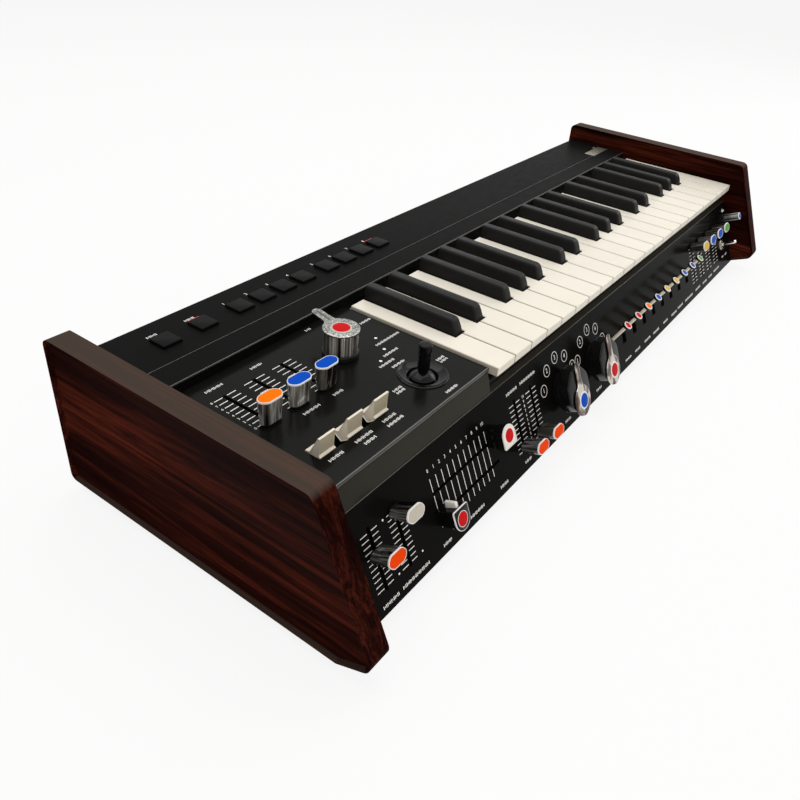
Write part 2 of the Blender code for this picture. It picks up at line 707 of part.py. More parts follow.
def panel_cuts():
    """Slots and holes in panel coordinates: x along it, y up it, z out of it."""
    cuts = []
    narrow = STEM_THICKNESS / 2 + SLOT_GAP
    stem_half = STEM_LENGTH / 2 + 2 * SLOT_GAP
    columns = [pair_x(0), pair_x(1), envelope_x(0), envelope_x(1)]
    columns += [right_fader_x(i) for i in range(RIGHT_FADERS)]
    for x in columns:
        cuts.append(slot(x, FADER_TOP - FADER_TRAVEL - stem_half, FADER_TOP + stem_half, narrow))
    for v in (TRAVELER_LOW, TRAVELER_HIGH):
        low = (TRAVELER_X - stem_half, v - narrow, -2 * SHEET)
        high = (TRAVELER_X + TRAVELER_SPREAD + stem_half, v + narrow, SHEET)
        cuts.append(box(low, high))
    for x in lever_places():
        swing = (LEVER_PIVOT_DEPTH + SLOT_GAP) * math.tan(LEVER_TILT) + LEVER_THICKNESS
        cuts.append(slot(x, LEVER_DROP - swing, LEVER_DROP + swing, LEVER_WIDTH / 2 + 2 * SLOT_GAP))
    rounds = [(rotary_x(i), ROTARY_DROP, ROTARY_SHAFT_RADIUS) for i in range(2)]
    rounds.append((end_x(), TOGGLE_DROP, TOGGLE_BALL_RADIUS))
    rounds.append((end_x(), TRIM_KNOB_DROP, TRIM_SHAFT_RADIUS))
    for x, v, radius in rounds:
        hole = circle(radius + GAP, ROUND_POINTS)
        cuts.append(stack(((-2 * SHEET, hole), (SHEET, hole)), (x, v)))
    return cuts


def pair_x(i):
    return PAIR_LEFT - INNER_X + i * PAIR_PITCH


def envelope_x(i):
    return ENVELOPE_LEFT - INNER_X + i * GRID_PITCH


def rotary_x(i):
    return ROTARY_LEFT - INNER_X + i * ROTARY_PITCH


def grid_x(i):
    return GRID_X + i * GRID_PITCH


def lever_places():
    return [grid_x(i) for i in range(sum(LEVER_BANKS))]


def right_fader_x(i):
    return grid_x(sum(LEVER_BANKS) + i)


def end_x():
    return grid_x(sum(LEVER_BANKS) + RIGHT_FADERS)


def make_rotary(name, plane, x):
    shaft = circle(ROTARY_SHAFT_RADIUS, KNOB_POINTS)
    neck = circle(ROTARY_NECK_RADIUS, KNOB_POINTS)
    body = faceted(ROTARY_RADIUS, ROTARY_SIDES)
    plate = [(a, b - PLATE_DROP) for a, b in pointer_outline(KNOB_PLATE_RADIUS, ROTARY_POINTER)]
    crown = [(a, b - PLATE_DROP) for a, b in pointer_outline(KNOB_PLATE_RADIUS, ROTARY_POINTER, -CAP_EDGE)]
    plate_low = ROTARY_BODY_HEIGHT + CAP_EDGE
    levels = (
        (-STEM_DEPTH, shaft),
        (GAP, shaft),
        (GAP, neck),
        (ROTARY_NECK_HEIGHT, neck),
        (ROTARY_NECK_HEIGHT, body),
        (ROTARY_BODY_HEIGHT, body),
        (plate_low, plate),
        (ROTARY_HEIGHT - CAP_EDGE / 2, plate),
        (ROTARY_HEIGHT, crown),
    )
    make(name, [stack(levels)], "chrome", plane, (x, ROTARY_DROP, 0), smooth=True)


def make_lever_bank(name, plane, first, count):
    """Flat levers with round ends on one bar that turns behind the panel."""
    pivot = ((grid_x(first) + grid_x(first + count - 1)) / 2, LEVER_DROP, -LEVER_PIVOT_DEPTH)
    half = (count - 1) * GRID_PITCH / 2 + LEVER_BAR_END
    turn = (-LEVER_TILT, 0, 0)
    bank = make(name, [rod_along_x(LEVER_BAR_RADIUS, -half, half)], "cream", plane, pivot, turn)
    blade = stadium(LEVER_WIDTH, LEVER_THICKNESS, SMALL_STEPS)
    disc = stadium(2 * LEVER_DISC_RADIUS, 2 * LEVER_DISC_RADIUS, SMALL_STEPS)
    face = [(x * CAP_WAIST, y * CAP_WAIST) for x, y in disc]
    neck = LEVER_LENGTH - LEVER_DISC_THICKNESS
    levels = (
        (0, blade),
        (neck, blade),
        (neck, disc),
        (LEVER_LENGTH - CAP_EDGE, disc),
        (LEVER_LENGTH, face),
    )
    blades = [stack(levels, (-half + LEVER_BAR_END + i * GRID_PITCH, 0)) for i in range(count)]
    helper = make(f"{name}_blades", blades, parent=plane, place=pivot, turn=turn)
    combine(bank, helper, "UNION")


def make_toggle(plane):
    pole = math.sqrt(TOGGLE_BALL_RADIUS**2 - TOGGLE_NECK_RADIUS**2)
    shoulder = math.sqrt(TOGGLE_BALL_RADIUS**2 - (pole / 2) ** 2)
    levels = (
        (-2 * pole, circle(TOGGLE_NECK_RADIUS, ROUND_POINTS)),
        (-pole, circle(TOGGLE_NECK_RADIUS, ROUND_POINTS)),
        (-pole / 2, circle(shoulder, ROUND_POINTS)),
        (0, circle(TOGGLE_BALL_RADIUS, ROUND_POINTS)),
        (pole / 2, circle(shoulder, ROUND_POINTS)),
        (pole, circle(TOGGLE_NECK_RADIUS, ROUND_POINTS)),
        (TOGGLE_LENGTH - TOGGLE_TIP_RADIUS, circle(TOGGLE_TIP_RADIUS, ROUND_POINTS)),
        (TOGGLE_LENGTH, circle(TOGGLE_TIP_RADIUS / 2, ROUND_POINTS)),
    )
    here = (end_x(), TOGGLE_DROP, 0)
    make("toggle_switch", [stack(levels)], "chrome", plane, here, (-TOGGLE_TILT, 0, 0), smooth=True)


def make_trim_knob(plane):
    knob = circle(TRIM_KNOB_RADIUS, ROUND_POINTS)
    levels = (
        (-STEM_DEPTH, circle(TRIM_SHAFT_RADIUS, ROUND_POINTS)),
        (GAP, circle(TRIM_SHAFT_RADIUS, ROUND_POINTS)),
        (GAP, knob),
        (TRIM_KNOB_HEIGHT - CAP_EDGE, knob),
        (TRIM_KNOB_HEIGHT, circle(TRIM_KNOB_RADIUS - CAP_EDGE, ROUND_POINTS)),
    )
    make("trim_knob", [stack(levels)], "chrome", plane, (end_x(), TRIM_KNOB_DROP, 0), smooth=True)


def sharp_centre(i):
    """x of the sharp after natural i, or None where there is none."""
    shift = SHARP_SHIFTS.get(i % OCTAVE)
    if shift is None or not 0 <= i < NATURALS - 1:
        return None
    return KEYS_LEFT + (i + 1) * KEY_PITCH + shift


def arm_profile(top_z):
    """Side view of the arm behind a key, relative to the pivot and round about it."""
    root = KEY_REAR - PIVOT_Y
    arc = []
    for i in range(ARM_STEPS + 1):
        angle = math.pi / 2 - math.pi * i / ARM_STEPS
        arc.append((ARM_RADIUS * math.cos(angle), ARM_RADIUS * math.sin(angle)))
    front = root - ARM_ROOT
    rise = top_z - PIVOT_Z
    return (*arc, (front, -ARM_RADIUS), (front, rise), (root - GAP, rise), (root - GAP, ARM_RADIUS))


def make_natural(i):
    """A natural key: its plan, notched for the sharps beside it, and the arm behind."""
    left = KEYS_LEFT + i * KEY_PITCH + KEY_GAP / 2
    right = left + KEY_PITCH - KEY_GAP
    reach = SHARP_WIDTH / 2 + KEY_GAP
    before, after = sharp_centre(i - 1), sharp_centre(i)
    tail_left = left if before is None else before + reach
    tail_right = right if after is None else after - reach
    notch = SHARP_FRONT - KEY_GAP
    plan = [(left, KEY_FRONT), (right, KEY_FRONT)]
    if after is not None:
        plan += [(right, notch), (tail_right, notch)]
    plan += [(tail_right, KEY_REAR), (tail_left, KEY_REAR)]
    if before is not None:
        plan += [(tail_left, notch), (left, notch)]
    centre = (left + right) / 2
    plan = [(x - centre, y - PIVOT_Y) for x, y in plan]
    levels = ((KEY_BOTTOM - PIVOT_Z, plan), (KEY_TOP - PIVOT_Z, plan))
    pivot = (centre, PIVOT_Y, PIVOT_Z)
    name = f"natural_key_{i + 1:02d}"
    key = make(name, [stack(levels)], "ivory", place=pivot)
    bevel(key, KEY_EDGE, 1)
    arm_edge = KEY_GAP / 2
    x0, x1 = tail_left - centre + arm_edge, tail_right - centre - arm_edge
    arm = make(f"{name}_arm", [along_x(arm_profile(KEY_BOTTOM + SHEET), x0, x1)], place=pivot)
    combine(key, arm, "UNION")


def sharp_body(x):
    """Rings of one sharp, relative to the pivot line, from its foot to its narrow top."""
    front = SHARP_FRONT - PIVOT_Y
    rear = KEY_REAR - PIVOT_Y
    top = KEY_TOP + SHARP_RISE - PIVOT_Z
    foot = KEY_BOTTOM - PIVOT_Z
    rings = []
    for z, width, lead in (
        (foot, SHARP_WIDTH, 0),
        (KEY_TOP - PIVOT_Z, SHARP_WIDTH, 0),
        (top - SHARP_CHAMFER, SHARP_TOP_WIDTH, SHARP_SLOPE),
        (top, SHARP_TOP_WIDTH - 2 * SHARP_CHAMFER, SHARP_SLOPE + SHARP_CHAMFER),
    ):
        half = width / 2
        corners = ((-half, front + lead), (half, front + lead), (half, rear), (-half, rear))
        rings.append([(x + a, b, z) for a, b in corners])
    return rings


def make_sharp_combs():
    """The five sharps of an octave hang on one bar that lies under the naturals' arms."""
    centres = [sharp_centre(i) for i in range(NATURALS)]
    centres = [x for x in centres if x is not None]
    names = ("low", "middle", "high")
    for name, first in zip(names, range(0, len(centres), SHARPS_A_COMB)):
        group = centres[first : first + SHARPS_A_COMB]
        middle = (group[0] + group[-1]) / 2
        places = [x - middle for x in group]
        half = SHARP_ARM_WIDTH / 2
        bar_top = -ARM_RADIUS - COMB_CLEARANCE
        bar_back = -ARM_RADIUS
        low = (places[0] - half, bar_back - COMB_BAR, bar_top - COMB_BAR)
        high = (places[-1] + half, bar_back, bar_top)
        pivot = (middle, PIVOT_Y, PIVOT_Z)
        comb = make(f"sharp_keys_{name}", [box(low, high)], "sharp", place=pivot)
        profile = arm_profile(KEY_BOTTOM + SHEET)
        arms = [along_x(profile, x - half, x + half) for x in places]
        webs = []
        for x in places:
            web_half = half - GAP
            web_low = (x - web_half, bar_back - COMB_BAR + GAP, bar_top - SHEET)
            web_high = (x + web_half, bar_back - GAP, 0)
            webs.append(box(web_low, web_high))
        combine(comb, make(f"sharp_webs_{name}", webs, place=pivot), "UNION")
        combine(comb, make(f"sharp_arms_{name}", arms, place=pivot), "UNION")
        tops = [sharp_body(x) for x in places]
        combine(comb, make(f"sharp_tops_{name}", tops, place=pivot), "UNION")


def make_key_frame():
    """A channel on two legs: its front edge stops the pressed keys, its rear wall holds the pivots."""
    base_top = PIVOT_Z - FRAME_BELOW_PIVOT
    base = base_top - SHEET
    front, rear = FRAME_FRONT, FRAME_REAR
    lever = PIVOT_Y - front
    stop = PIVOT_Z - lever * math.sin(KEY_PRESS) + (KEY_BOTTOM - PIVOT_Z) * math.cos(KEY_PRESS) - GAP
    foot = FLOOR_TOP + GAP
    profile = (
        (front, stop),
        (front, base),
        (LEG_FRONT, base),
        (LEG_FRONT, foot),
        (LEG_FRONT + SHEET, foot),
        (LEG_FRONT + SHEET, base),
        (LEG_BACK, base),
        (LEG_BACK, foot),
        (LEG_BACK + SHEET, foot),
        (LEG_BACK + SHEET, base),
        (rear + SHEET, base),
        (rear + SHEET, PIVOT_Z + ARM_RADIUS),
        (rear, PIVOT_Z + ARM_RADIUS),
        (rear, base_top),
        (front + SHEET, base_top),
        (front + SHEET, stop),
    )
    make("key_frame", [along_x(profile, KEYS_LEFT, BAY_X)], "steel")


def make_main_board():
    """A circuit board on posts, with a row of tall parts."""
    low = FLOOR_TOP + BOARD_HEIGHT
    half = BOARD_LENGTH / 2
    size = ((-half, BOARD_FRONT, low), (half, BOARD_BACK, low + BOARD_THICKNESS))
    board = make("main_board", [box(*size)], "board")
    post = stadium(2 * POST_RADIUS, 2 * POST_RADIUS, SMALL_STEPS)
    extras = []
    for x in (-half + FOOT_INSET, 0, half - FOOT_INSET):
        for y in (BOARD_FRONT + POST_RADIUS * 2, BOARD_BACK - POST_RADIUS * 2):
            extras.append(stack(((FLOOR_TOP + GAP, post), (low + BOARD_THICKNESS / 2, post)), (x, y)))
    pitch = BOARD_LENGTH / BOARD_PARTS
    middle = (BOARD_FRONT + BOARD_BACK) / 2
    for i in range(BOARD_PARTS):
        x = -half + (i + 0.5) * pitch
        half_x, half_y = BOARD_PART_LENGTH / 2, BOARD_PART_DEPTH / 2
        part_top = low + BOARD_THICKNESS + BOARD_PART_HEIGHT
        near = (x - half_x, middle - half_y, low + BOARD_THICKNESS / 2)
        extras.append(box(near, (x + half_x, middle + half_y, part_top)))
    combine(board, make("board_parts", extras), "UNION")


def make_reverb_tank():
    low = FLOOR_TOP + GAP
    left = TANK_X - TANK_LENGTH / 2
    outer = ((left, TANK_FRONT, low), (left + TANK_LENGTH, TANK_BACK, low + TANK_HEIGHT))
    tank = make("reverb_tank", [box(*outer)], "steel")
    inner_low = [value + TANK_WALL for value in outer[0]]
    inner_high = [outer[1][0] - TANK_WALL, outer[1][1] - TANK_WALL, outer[1][2] + TANK_WALL]
    combine(tank, make("tank_hollow", [box(inner_low, inner_high)]), "DIFFERENCE")


def make_panel_controls(plane):
    make_fader("volume_fader", plane, (pair_x(0), VOLUME_AT, 0), PANEL_CAP)
    make_fader("reverb_fader", plane, (pair_x(1), FADER_TOP, 0), PANEL_CAP)
    make_traveler("traveler_low", plane, (TRAVELER_X, TRAVELER_LOW, 0), -1, TRAVELER_LOW_SHIFT)
    high_place = (TRAVELER_X + TRAVELER_SPREAD, TRAVELER_HIGH, 0)
    make_traveler("traveler_high", plane, high_place, 1, TRAVELER_HIGH_SHIFT)
    make_fader("attack_fader", plane, (envelope_x(0), ENVELOPE_AT, 0), PANEL_CAP)
    make_fader("decay_fader", plane, (envelope_x(1), ENVELOPE_AT, 0), PANEL_CAP)
    make_rotary("rotary_knob_left", plane, rotary_x(0))
    make_rotary("rotary_knob_right", plane, rotary_x(1))
    make_lever_bank("lever_bank_left", plane, 0, LEVER_BANKS[0])
    make_lever_bank("lever_bank_right", plane, LEVER_BANKS[0], LEVER_BANKS[1])
    for i in range(RIGHT_FADERS):
        make_fader(f"right_fader_{i + 1}", plane, (right_fader_x(i), RIGHT_FADER_AT, 0), PANEL_CAP)
    make_toggle(plane)
    make_trim_knob(plane)


def main():
    clear_scene()
    plane = bpy.data.objects.new("panel_plane", None)
    bpy.context.scene.collection.objects.link(plane)
    plane.location = (0, PANEL_TOP_Y, PANEL_TOP_Z)
    plane.rotation_euler = (SIDE_ON, 0, 0)
    make_cheek("left_cheek", -1)
    make_cheek("right_cheek", 1)
    make_bottom_pan()
    make_top_cover()
    make_program_buttons()
    make_front_panel(plane)
    make_control_deck()
    make_key_frame()
    make_main_board()
    make_reverb_tank()
    for i in range(NATURALS):
        make_natural(i)
    make_sharp_combs()
    for i in range(DECK_COLUMNS):
        make_fader(f"deck_fader_{i + 1}", None, (deck_column(i), DECK_FADER_FRONT, DECK_TOP), DECK_CAP)
    make_tabs()
    make_mode_knob()
    make_joystick()
    make_panel_controls(plane)
    bpy.context.view_layer.update()


main()
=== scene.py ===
"""Looks of the analog synthesizer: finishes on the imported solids, finer controls, prints and the stage.

Laid out as a Blender add-on and run as a script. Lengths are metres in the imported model's frame: +X runs
along the keyboard, -Y towards the player and +Z up.
"""

import math

import bpy
import numpy as np
from mathutils import Matrix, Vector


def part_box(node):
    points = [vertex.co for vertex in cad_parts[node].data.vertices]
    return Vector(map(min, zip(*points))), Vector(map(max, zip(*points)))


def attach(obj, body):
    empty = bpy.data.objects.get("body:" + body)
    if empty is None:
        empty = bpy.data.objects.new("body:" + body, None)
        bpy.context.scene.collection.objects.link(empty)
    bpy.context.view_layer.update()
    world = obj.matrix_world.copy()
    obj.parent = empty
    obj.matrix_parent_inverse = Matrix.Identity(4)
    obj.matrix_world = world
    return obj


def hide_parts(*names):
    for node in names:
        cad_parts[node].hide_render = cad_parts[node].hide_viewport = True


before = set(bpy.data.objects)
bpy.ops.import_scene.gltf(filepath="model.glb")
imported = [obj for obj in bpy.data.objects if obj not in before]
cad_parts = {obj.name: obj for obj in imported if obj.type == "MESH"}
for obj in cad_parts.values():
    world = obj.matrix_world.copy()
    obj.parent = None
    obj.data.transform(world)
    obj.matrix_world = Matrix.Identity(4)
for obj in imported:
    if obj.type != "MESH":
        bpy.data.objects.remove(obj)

bl_info = {
    "name": "Analog synthesizer looks",
    "version": (1, 0, 0),
    "blender": (4, 5, 0),
    "location": "View3D > Sidebar > Synthesizer",
    "description": "Finishes, fine pieces and stage for the packed analog synthesizer",
    "category": "Object",
}

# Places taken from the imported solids
LEAN = math.radians(24)
PANEL_FLANGE = 0.0056
DECK_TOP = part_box("control_deck")[1].z
COVER_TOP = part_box("top_cover")[1].z
COVER_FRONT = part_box("top_cover")[0].y
COVER_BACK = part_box("top_cover")[1].y
COVER_GROOVE = 0.0203
INNER_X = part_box("left_cheek")[1].x
DECK_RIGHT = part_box("control_deck")[1].x
DECK_FRONT_EDGE = 0.0047
PANEL_TOP_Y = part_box("front_panel")[1].y - PANEL_FLANGE
PANEL_TOP_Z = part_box("front_panel")[1].z

LEVEL = np.eye(3)
LEANING = np.array([[1, 0, 0], [0, math.sin(LEAN), math.cos(LEAN)], [0, -math.cos(LEAN), math.sin(LEAN)]])
PLANES = {
    "floor": (np.zeros(3), LEVEL),
    "deck": (np.array([0, 0, DECK_TOP]), LEVEL),
    "cover": (np.array([0, 0, COVER_TOP]), LEVEL),
    "panel": (np.array([0, PANEL_TOP_Y, PANEL_TOP_Z]), LEANING),
    "rear": (np.array([0, COVER_BACK, 0]), np.array([[-1, 0, 0], [0, 0, 1], [0, 1, 0]])),
}

# Half the thickness of a print, and the angle in degrees from which a crease stays sharp
INK = 0.00006
EDGES_FROM = 38.0

# Sizes of keys and case. A sharp's shift is its distance from the middle of its gap, by the natural before
# it. A cheek's corners are radii counted in cheek edges.
NATURALS = 22
KEY_PITCH = 0.0242
KEY_GAP = 0.0008
COVER_BEHIND_KEYS = 0.0063
GAP = 0.0003
NOSE_HEIGHT = 0.019
CHEEK_TOE = 0.025
CHEEK_CORNERS = (1.6, 1.8, 2.2, 2.4, 1.4)
BEAD_SINK = 0.84
SHARPS_ON_A_COMB = 5
SHARP_SHIFTS = {0: -0.0023, 1: 0.0023, 3: -0.0032, 4: 0.0, 5: 0.0030}
SHARP_SHAPE = {"foot": 0.0113, "top": 0.0090, "edge": 0.0012, "slope": 0.0052}
SHARP_CORNERS = (0.0004, 0.0004, 0.0014, 0.0014)
SHARP_FOOT = 0.009

# Sizes of controls. A plate is the radius of its disc, the length of its arm and half the arm's width.
CAP_FOOT = (0.0003, 0.0024)
CAP_FOOT_IN = (0.0042, 0.0018)
CAP_BODY_LOW = 0.0018
CAP_WAIST_LOW = 0.0021
CAP_WAIST = 0.00045
CAP_RIM_HEIGHT = 0.0011
TRAVELER_RIM = 0.00045
TRAVELER_CORNER = 0.0014
TRAVELER_DISC = 0.0050
TRAVELER_RING = 0.0054
KNOB_PLACE = (-0.2335, 0.0122)
KNOB_TURN = math.radians(13)
KNOB_BASE = 0.0125
KNOB_BODY = 0.0117
KNOB_PLATE = (0.0126, 0.0306, 0.0036)
KNOB_GROOVE = (0.0150, 0.0020)
KNOB_GROOVE_Y = 0.0195
KNOB_RING = 0.0072
KNOB_DISC = 0.0059
STICK_PLACE = (-0.2161, -0.04281)
DOME = 0.0115
DOME_WALL = 0.0008
STICK_CENTRE = -0.0085
ROTARY_DROP = -0.0375
ROTARY_NECK = 0.0125
ROTARY_BODY = 0.0193
ROTARY_PLATE = (0.0123, 0.0312, 0.0032)
ROTARY_RING = 0.0069
ROTARY_DISC = 0.0056
PLATE_DROP = 0.0095
LEVER_BAR_END = 0.005
LEVER_DROP = -0.0416
LEVER_DEPTH = 0.006
LEVER_TILT = math.radians(37.4)
LEVER_BLADE = (0.0062, 0.0028)
LEVER_HEAD = 0.0038
LEVER_FACE = 0.0031
BUTTON_SIZE = 0.0150
BUTTON_Y = 0.0978
BUTTON_PITCH = 0.0218
BUTTON_FIRST_FROM_LEFT = 0.0485
BUTTON_SPACES = {0: 0.0097, 1: 0.0123, 5: 0.0062}
TOGGLE_DROP = -0.0440
TOGGLE_TILT = math.radians(9)
TOGGLE_NUT = 0.0050
TOGGLE_WASHER = 0.0058
TRIM_DROP = -0.0132
TRIM_FOOT_SHARE = 0.34
TRIM_FOOT = 0.0041
TRIM_BODY = 0.0040
TRIM_TEETH = 24
TRIM_RIM = 0.0038
TRIM_FACE = 0.0029
LAMP_PLACE = (0.3450, -0.0085, 0)

# Sizes of small parts and prints. A label is x, y and length.
COVER_SCREWS = (-0.3435, 0.3435)
COVER_SCREW_Y = 0.0880
REAR_SCREW_REACH = 0.33
REAR_SCREW = 0.0027
NAMEPLATE = (0.0390, 0.0125)
NAMEPLATE_PLACE = (0.3305, 0.0800, 0)
FOOT_PAD = 0.0094
SOCKET_HOLE = 0.0052
SOCKETS_FROM_RIGHT = (0.060, 0.100, 0.140)
SOCKET_Z = 0.049
INLET_FROM_LEFT = 0.060
FEET = [(x, y) for x in (-0.3252, 0.3252) for y in (-0.0717, 0.0940)]
PRINT_LINE = 0.0005
LABEL_HEIGHT = 0.0022
LABEL_STROKE = 0.0006
LABEL_STEP = 0.00115
NUMERAL_TALL = 0.73
NUMERAL_STEP = 0.78
NUMERAL_DEPTH = 0.03
DECK_ROWS = np.linspace(-0.0043, 0.0320, 9)
DECK_DOTS = ((-0.2001, 0.0082), (-0.2078, -0.0051), (-0.2217, -0.0127))
PANEL_ROWS = np.linspace(-0.0193, -0.0560, 11)
PANEL_DOTS = ((-0.3100, -0.0193), (-0.3100, -0.0560), (-0.2860, -0.0560))
PANEL_COLUMNS = -0.2627 + 0.00643 * np.arange(11)
COLUMN_LINES = ((-0.0287, -0.0196), (-0.0453, -0.0313), (-0.0540, -0.0479))
TICKS_LEFT = (0.0078, 0.0018)
TICKS_RIGHT = (0.0018, 0.0072)
ICON_REACH = 0.0260
ICON_RADIUS = 0.0048
ICON_TURNS = np.radians((-70, -35, 0, 35, 70))
DECK_LABELS = (
    (-0.2868, 0.0425, 0.0102), (-0.3240, 0.0432, 0.0142), (-0.3007, -0.0155, 0.0146),
    (-0.2735, -0.0155, 0.0089), (-0.3238, -0.0549, 0.0122), (-0.3012, -0.0553, 0.0154),
    (-0.2987, -0.0600, 0.0104), (-0.2752, -0.0550, 0.0125), (-0.2766, -0.0598, 0.0151),
    (-0.2082, 0.0017, 0.0260), (-0.2159, -0.0107, 0.0157), (-0.2287, -0.0172, 0.0156),
    (-0.2230, -0.0233, 0.0134), (-0.1922, 0.0285, 0.0117), (-0.2267, 0.0499, 0.0057),
    (-0.2455, -0.0405, 0.0090), (-0.2455, -0.0435, 0.0082), (-0.1955, -0.0400, 0.0085),
    (-0.1955, -0.0430, 0.0080), (-0.2235, -0.0660, 0.0130),
)
PANEL_LABELS = (
    (-0.3299, -0.0664, 0.0156), (-0.3107, -0.0661, 0.0280), (-0.2667, -0.0655, 0.0096),
    (-0.2341, -0.0650, 0.0175), (-0.1945, -0.0652, 0.0104), (-0.1633, -0.0094, 0.0153),
    (-0.1436, -0.0092, 0.0233), (-0.1585, -0.0652, 0.0098), (-0.0924, -0.0652, 0.0101),
    (-0.0328, -0.0653, 0.0104), (0.0050, -0.0652, 0.0120), (0.0311, -0.0650, 0.0133),
    (0.0540, -0.0652, 0.0120), (0.0773, -0.0650, 0.0150), (0.1002, -0.0655, 0.0150),
    (0.1278, -0.0652, 0.0122), (0.1510, -0.0658, 0.0150), (0.1699, -0.0651, 0.0160),
    (0.1927, -0.0652, 0.0243), (0.2266, -0.0650, 0.0160), (0.2513, -0.0655, 0.0145),
    (0.2720, -0.0652, 0.0120), (0.2909, -0.0645, 0.0200), (0.3244, -0.0580, 0.0070),
    (0.3360, -0.0580, 0.0070),
)

# Floor and lamps: place, point looked at, size, power and colour
FLOOR_HALF = 4.0
FLOOR_STEPS = 8
FLOOR_LEVEL = -0.0001
LAMPS = (
    ("overhead", (0.10, 0.35, 1.60), (0.0, 0.0, 0.0), (2.2, 1.6), 17.0, (1.0, 1.0, 1.0)),
    ("front_left", (-1.30, -1.10, 0.95), (-0.1, 0.0, 0.05), (1.2, 1.2), 9.0, (1.0, 0.97, 0.93)),
    ("right", (1.50, -0.50, 0.90), (0.2, 0.0, 0.05), (0.9, 0.9), 6.0, (1.0, 1.0, 1.0)),
)


# Closed surfaces and outlines


def onto(points, plane):
    """Points given along a plane's own two directions and out of it, in the model's frame."""
    origin, axes = PLANES[plane]
    return origin + np.asarray(points, float) @ axes


def local_box(node, plane):
    """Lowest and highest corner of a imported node, in a plane's own directions."""
    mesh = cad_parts[node].data
    points = np.empty(len(mesh.vertices) * 3)
    mesh.vertices.foreach_get("co", points)
    origin, axes = PLANES[plane]
    local = (points.reshape(-1, 3) - origin) @ axes.T
    return local.min(0), local.max(0)


def middle(node, plane):
    """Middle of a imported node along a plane, and the height of its top above it."""
    low, high = local_box(node, plane)
    return (low[0] + high[0]) / 2, (low[1] + high[1]) / 2, high[2]


def volume(points, polygons):
    """Six times the volume inside a closed set of polygons: the sum of each corner fan's triple product."""
    centred = points - points.mean(0)
    total = 0.0
    for polygon in polygons:
        corners = centred[polygon]
        first = corners[..., :1, :]
        total += np.einsum("...i,...i", np.cross(corners[..., 1:-1, :], corners[..., 2:, :]), first).sum()
    return total


class Surface:
    """Points and faces of one piece, gathered from closed skins."""

    def __init__(self):
        self.points = []
        self.faces = []
        self.count = 0

    def add(self, points, polygons):
        """More points, and faces that count from the first of them."""
        for polygon in polygons:
            self.faces.extend((np.atleast_2d(polygon) + self.count).tolist())
        self.points.append(points)
        self.count += len(points)
        return self

    def skin(self, rings, looped=False):
        """A closed skin over a grid of rings: four-sided faces between neighbours, and a face on each end
        ring, or the last ring joined to the first. The faces are turned so that the volume is positive."""
        rings = np.asarray(rings, float)
        count, steps = rings.shape[:2]
        i = np.arange(count if looped else count - 1)[:, None]
        j = np.arange(steps)[None, :]
        near, far = i * steps, (i + 1) % count * steps
        corners = [near + j, near + (j + 1) % steps, far + (j + 1) % steps, far + j]
        quads = np.stack(corners, -1).reshape(-1, 4)
        polygons = [quads]
        if not looped:
            polygons += [np.arange(steps)[::-1], (count - 1) * steps + np.arange(steps)]
        points = rings.reshape(-1, 3)
        if volume(points, polygons) < 0:
            polygons = [polygon[..., ::-1] for polygon in polygons]
        return self.add(points, polygons)

    def blocks(self, low, high):
        """Rectangular blocks between rows of low and high corners, all at once."""
        low, high = np.atleast_2d(low), np.atleast_2d(high)
        ground = [[0, 0, 0], [1, 0, 0], [1, 1, 0], [0, 1, 0]]
        pick = np.array(ground + [[x, y, 1] for x, y, _ in ground])
        points = np.where(pick[None], high[:, None], low[:, None])
        faces = np.array([[3, 2, 1, 0], [4, 5, 6, 7], [0, 1, 5, 4], [1, 2, 6, 5], [2, 3, 7, 6], [3, 0, 4, 7]])
        quads = (faces[None] + 8 * np.arange(len(points))[:, None, None]).reshape(-1, 4)
        return self.add(points.reshape(-1, 3), [quads])


def piece(name, surface, plane, body, look, stands_for=(), sharp=EDGES_FROM):
    """Makes a surface into an object on its plane, with its finish, riding on its body."""
    mesh = bpy.data.meshes.new(name)
    points = onto(np.concatenate(surface.points), plane)
    mesh.from_pydata(points.tolist(), [], surface.faces)
    mesh.validate()
    mesh.shade_smooth()
    mesh.set_sharp_from_angle(angle=math.radians(sharp))
    mesh.materials.append(finish(look))
    obj = bpy.data.objects.new(name, mesh)
    bpy.context.scene.collection.objects.link(obj)
    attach(obj, body)
    if stands_for:
        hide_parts(*stands_for)


def round_outline(radius, steps=64, teeth=0, depth=0.0):
    """A circle whose radius swells by a cosine for each tooth. The inset makes it smaller."""
    angle = np.arange(steps) / steps * math.tau

    def at(inset):
        reach = radius - inset + depth * np.cos(teeth * angle)
        return np.stack([reach * np.sin(angle), reach * np.cos(angle)], -1)

    return at


def long_outline(width, depth, blunt=1.6, steps=40):
    """A straight middle between two ends that follow |x|^blunt + |y|^blunt = 1."""
    angle = (np.arange(steps) + 0.5) / steps * math.tau
    across, along = np.sin(angle), np.cos(angle)

    def at(inset):
        half, end = width / 2 - inset, depth / 2 - inset
        x = np.sign(across) * (half - end + end * np.abs(across) ** (2 / blunt))
        y = np.sign(along) * end * np.abs(along) ** (2 / blunt)
        return np.stack([x, y], -1)

    return at


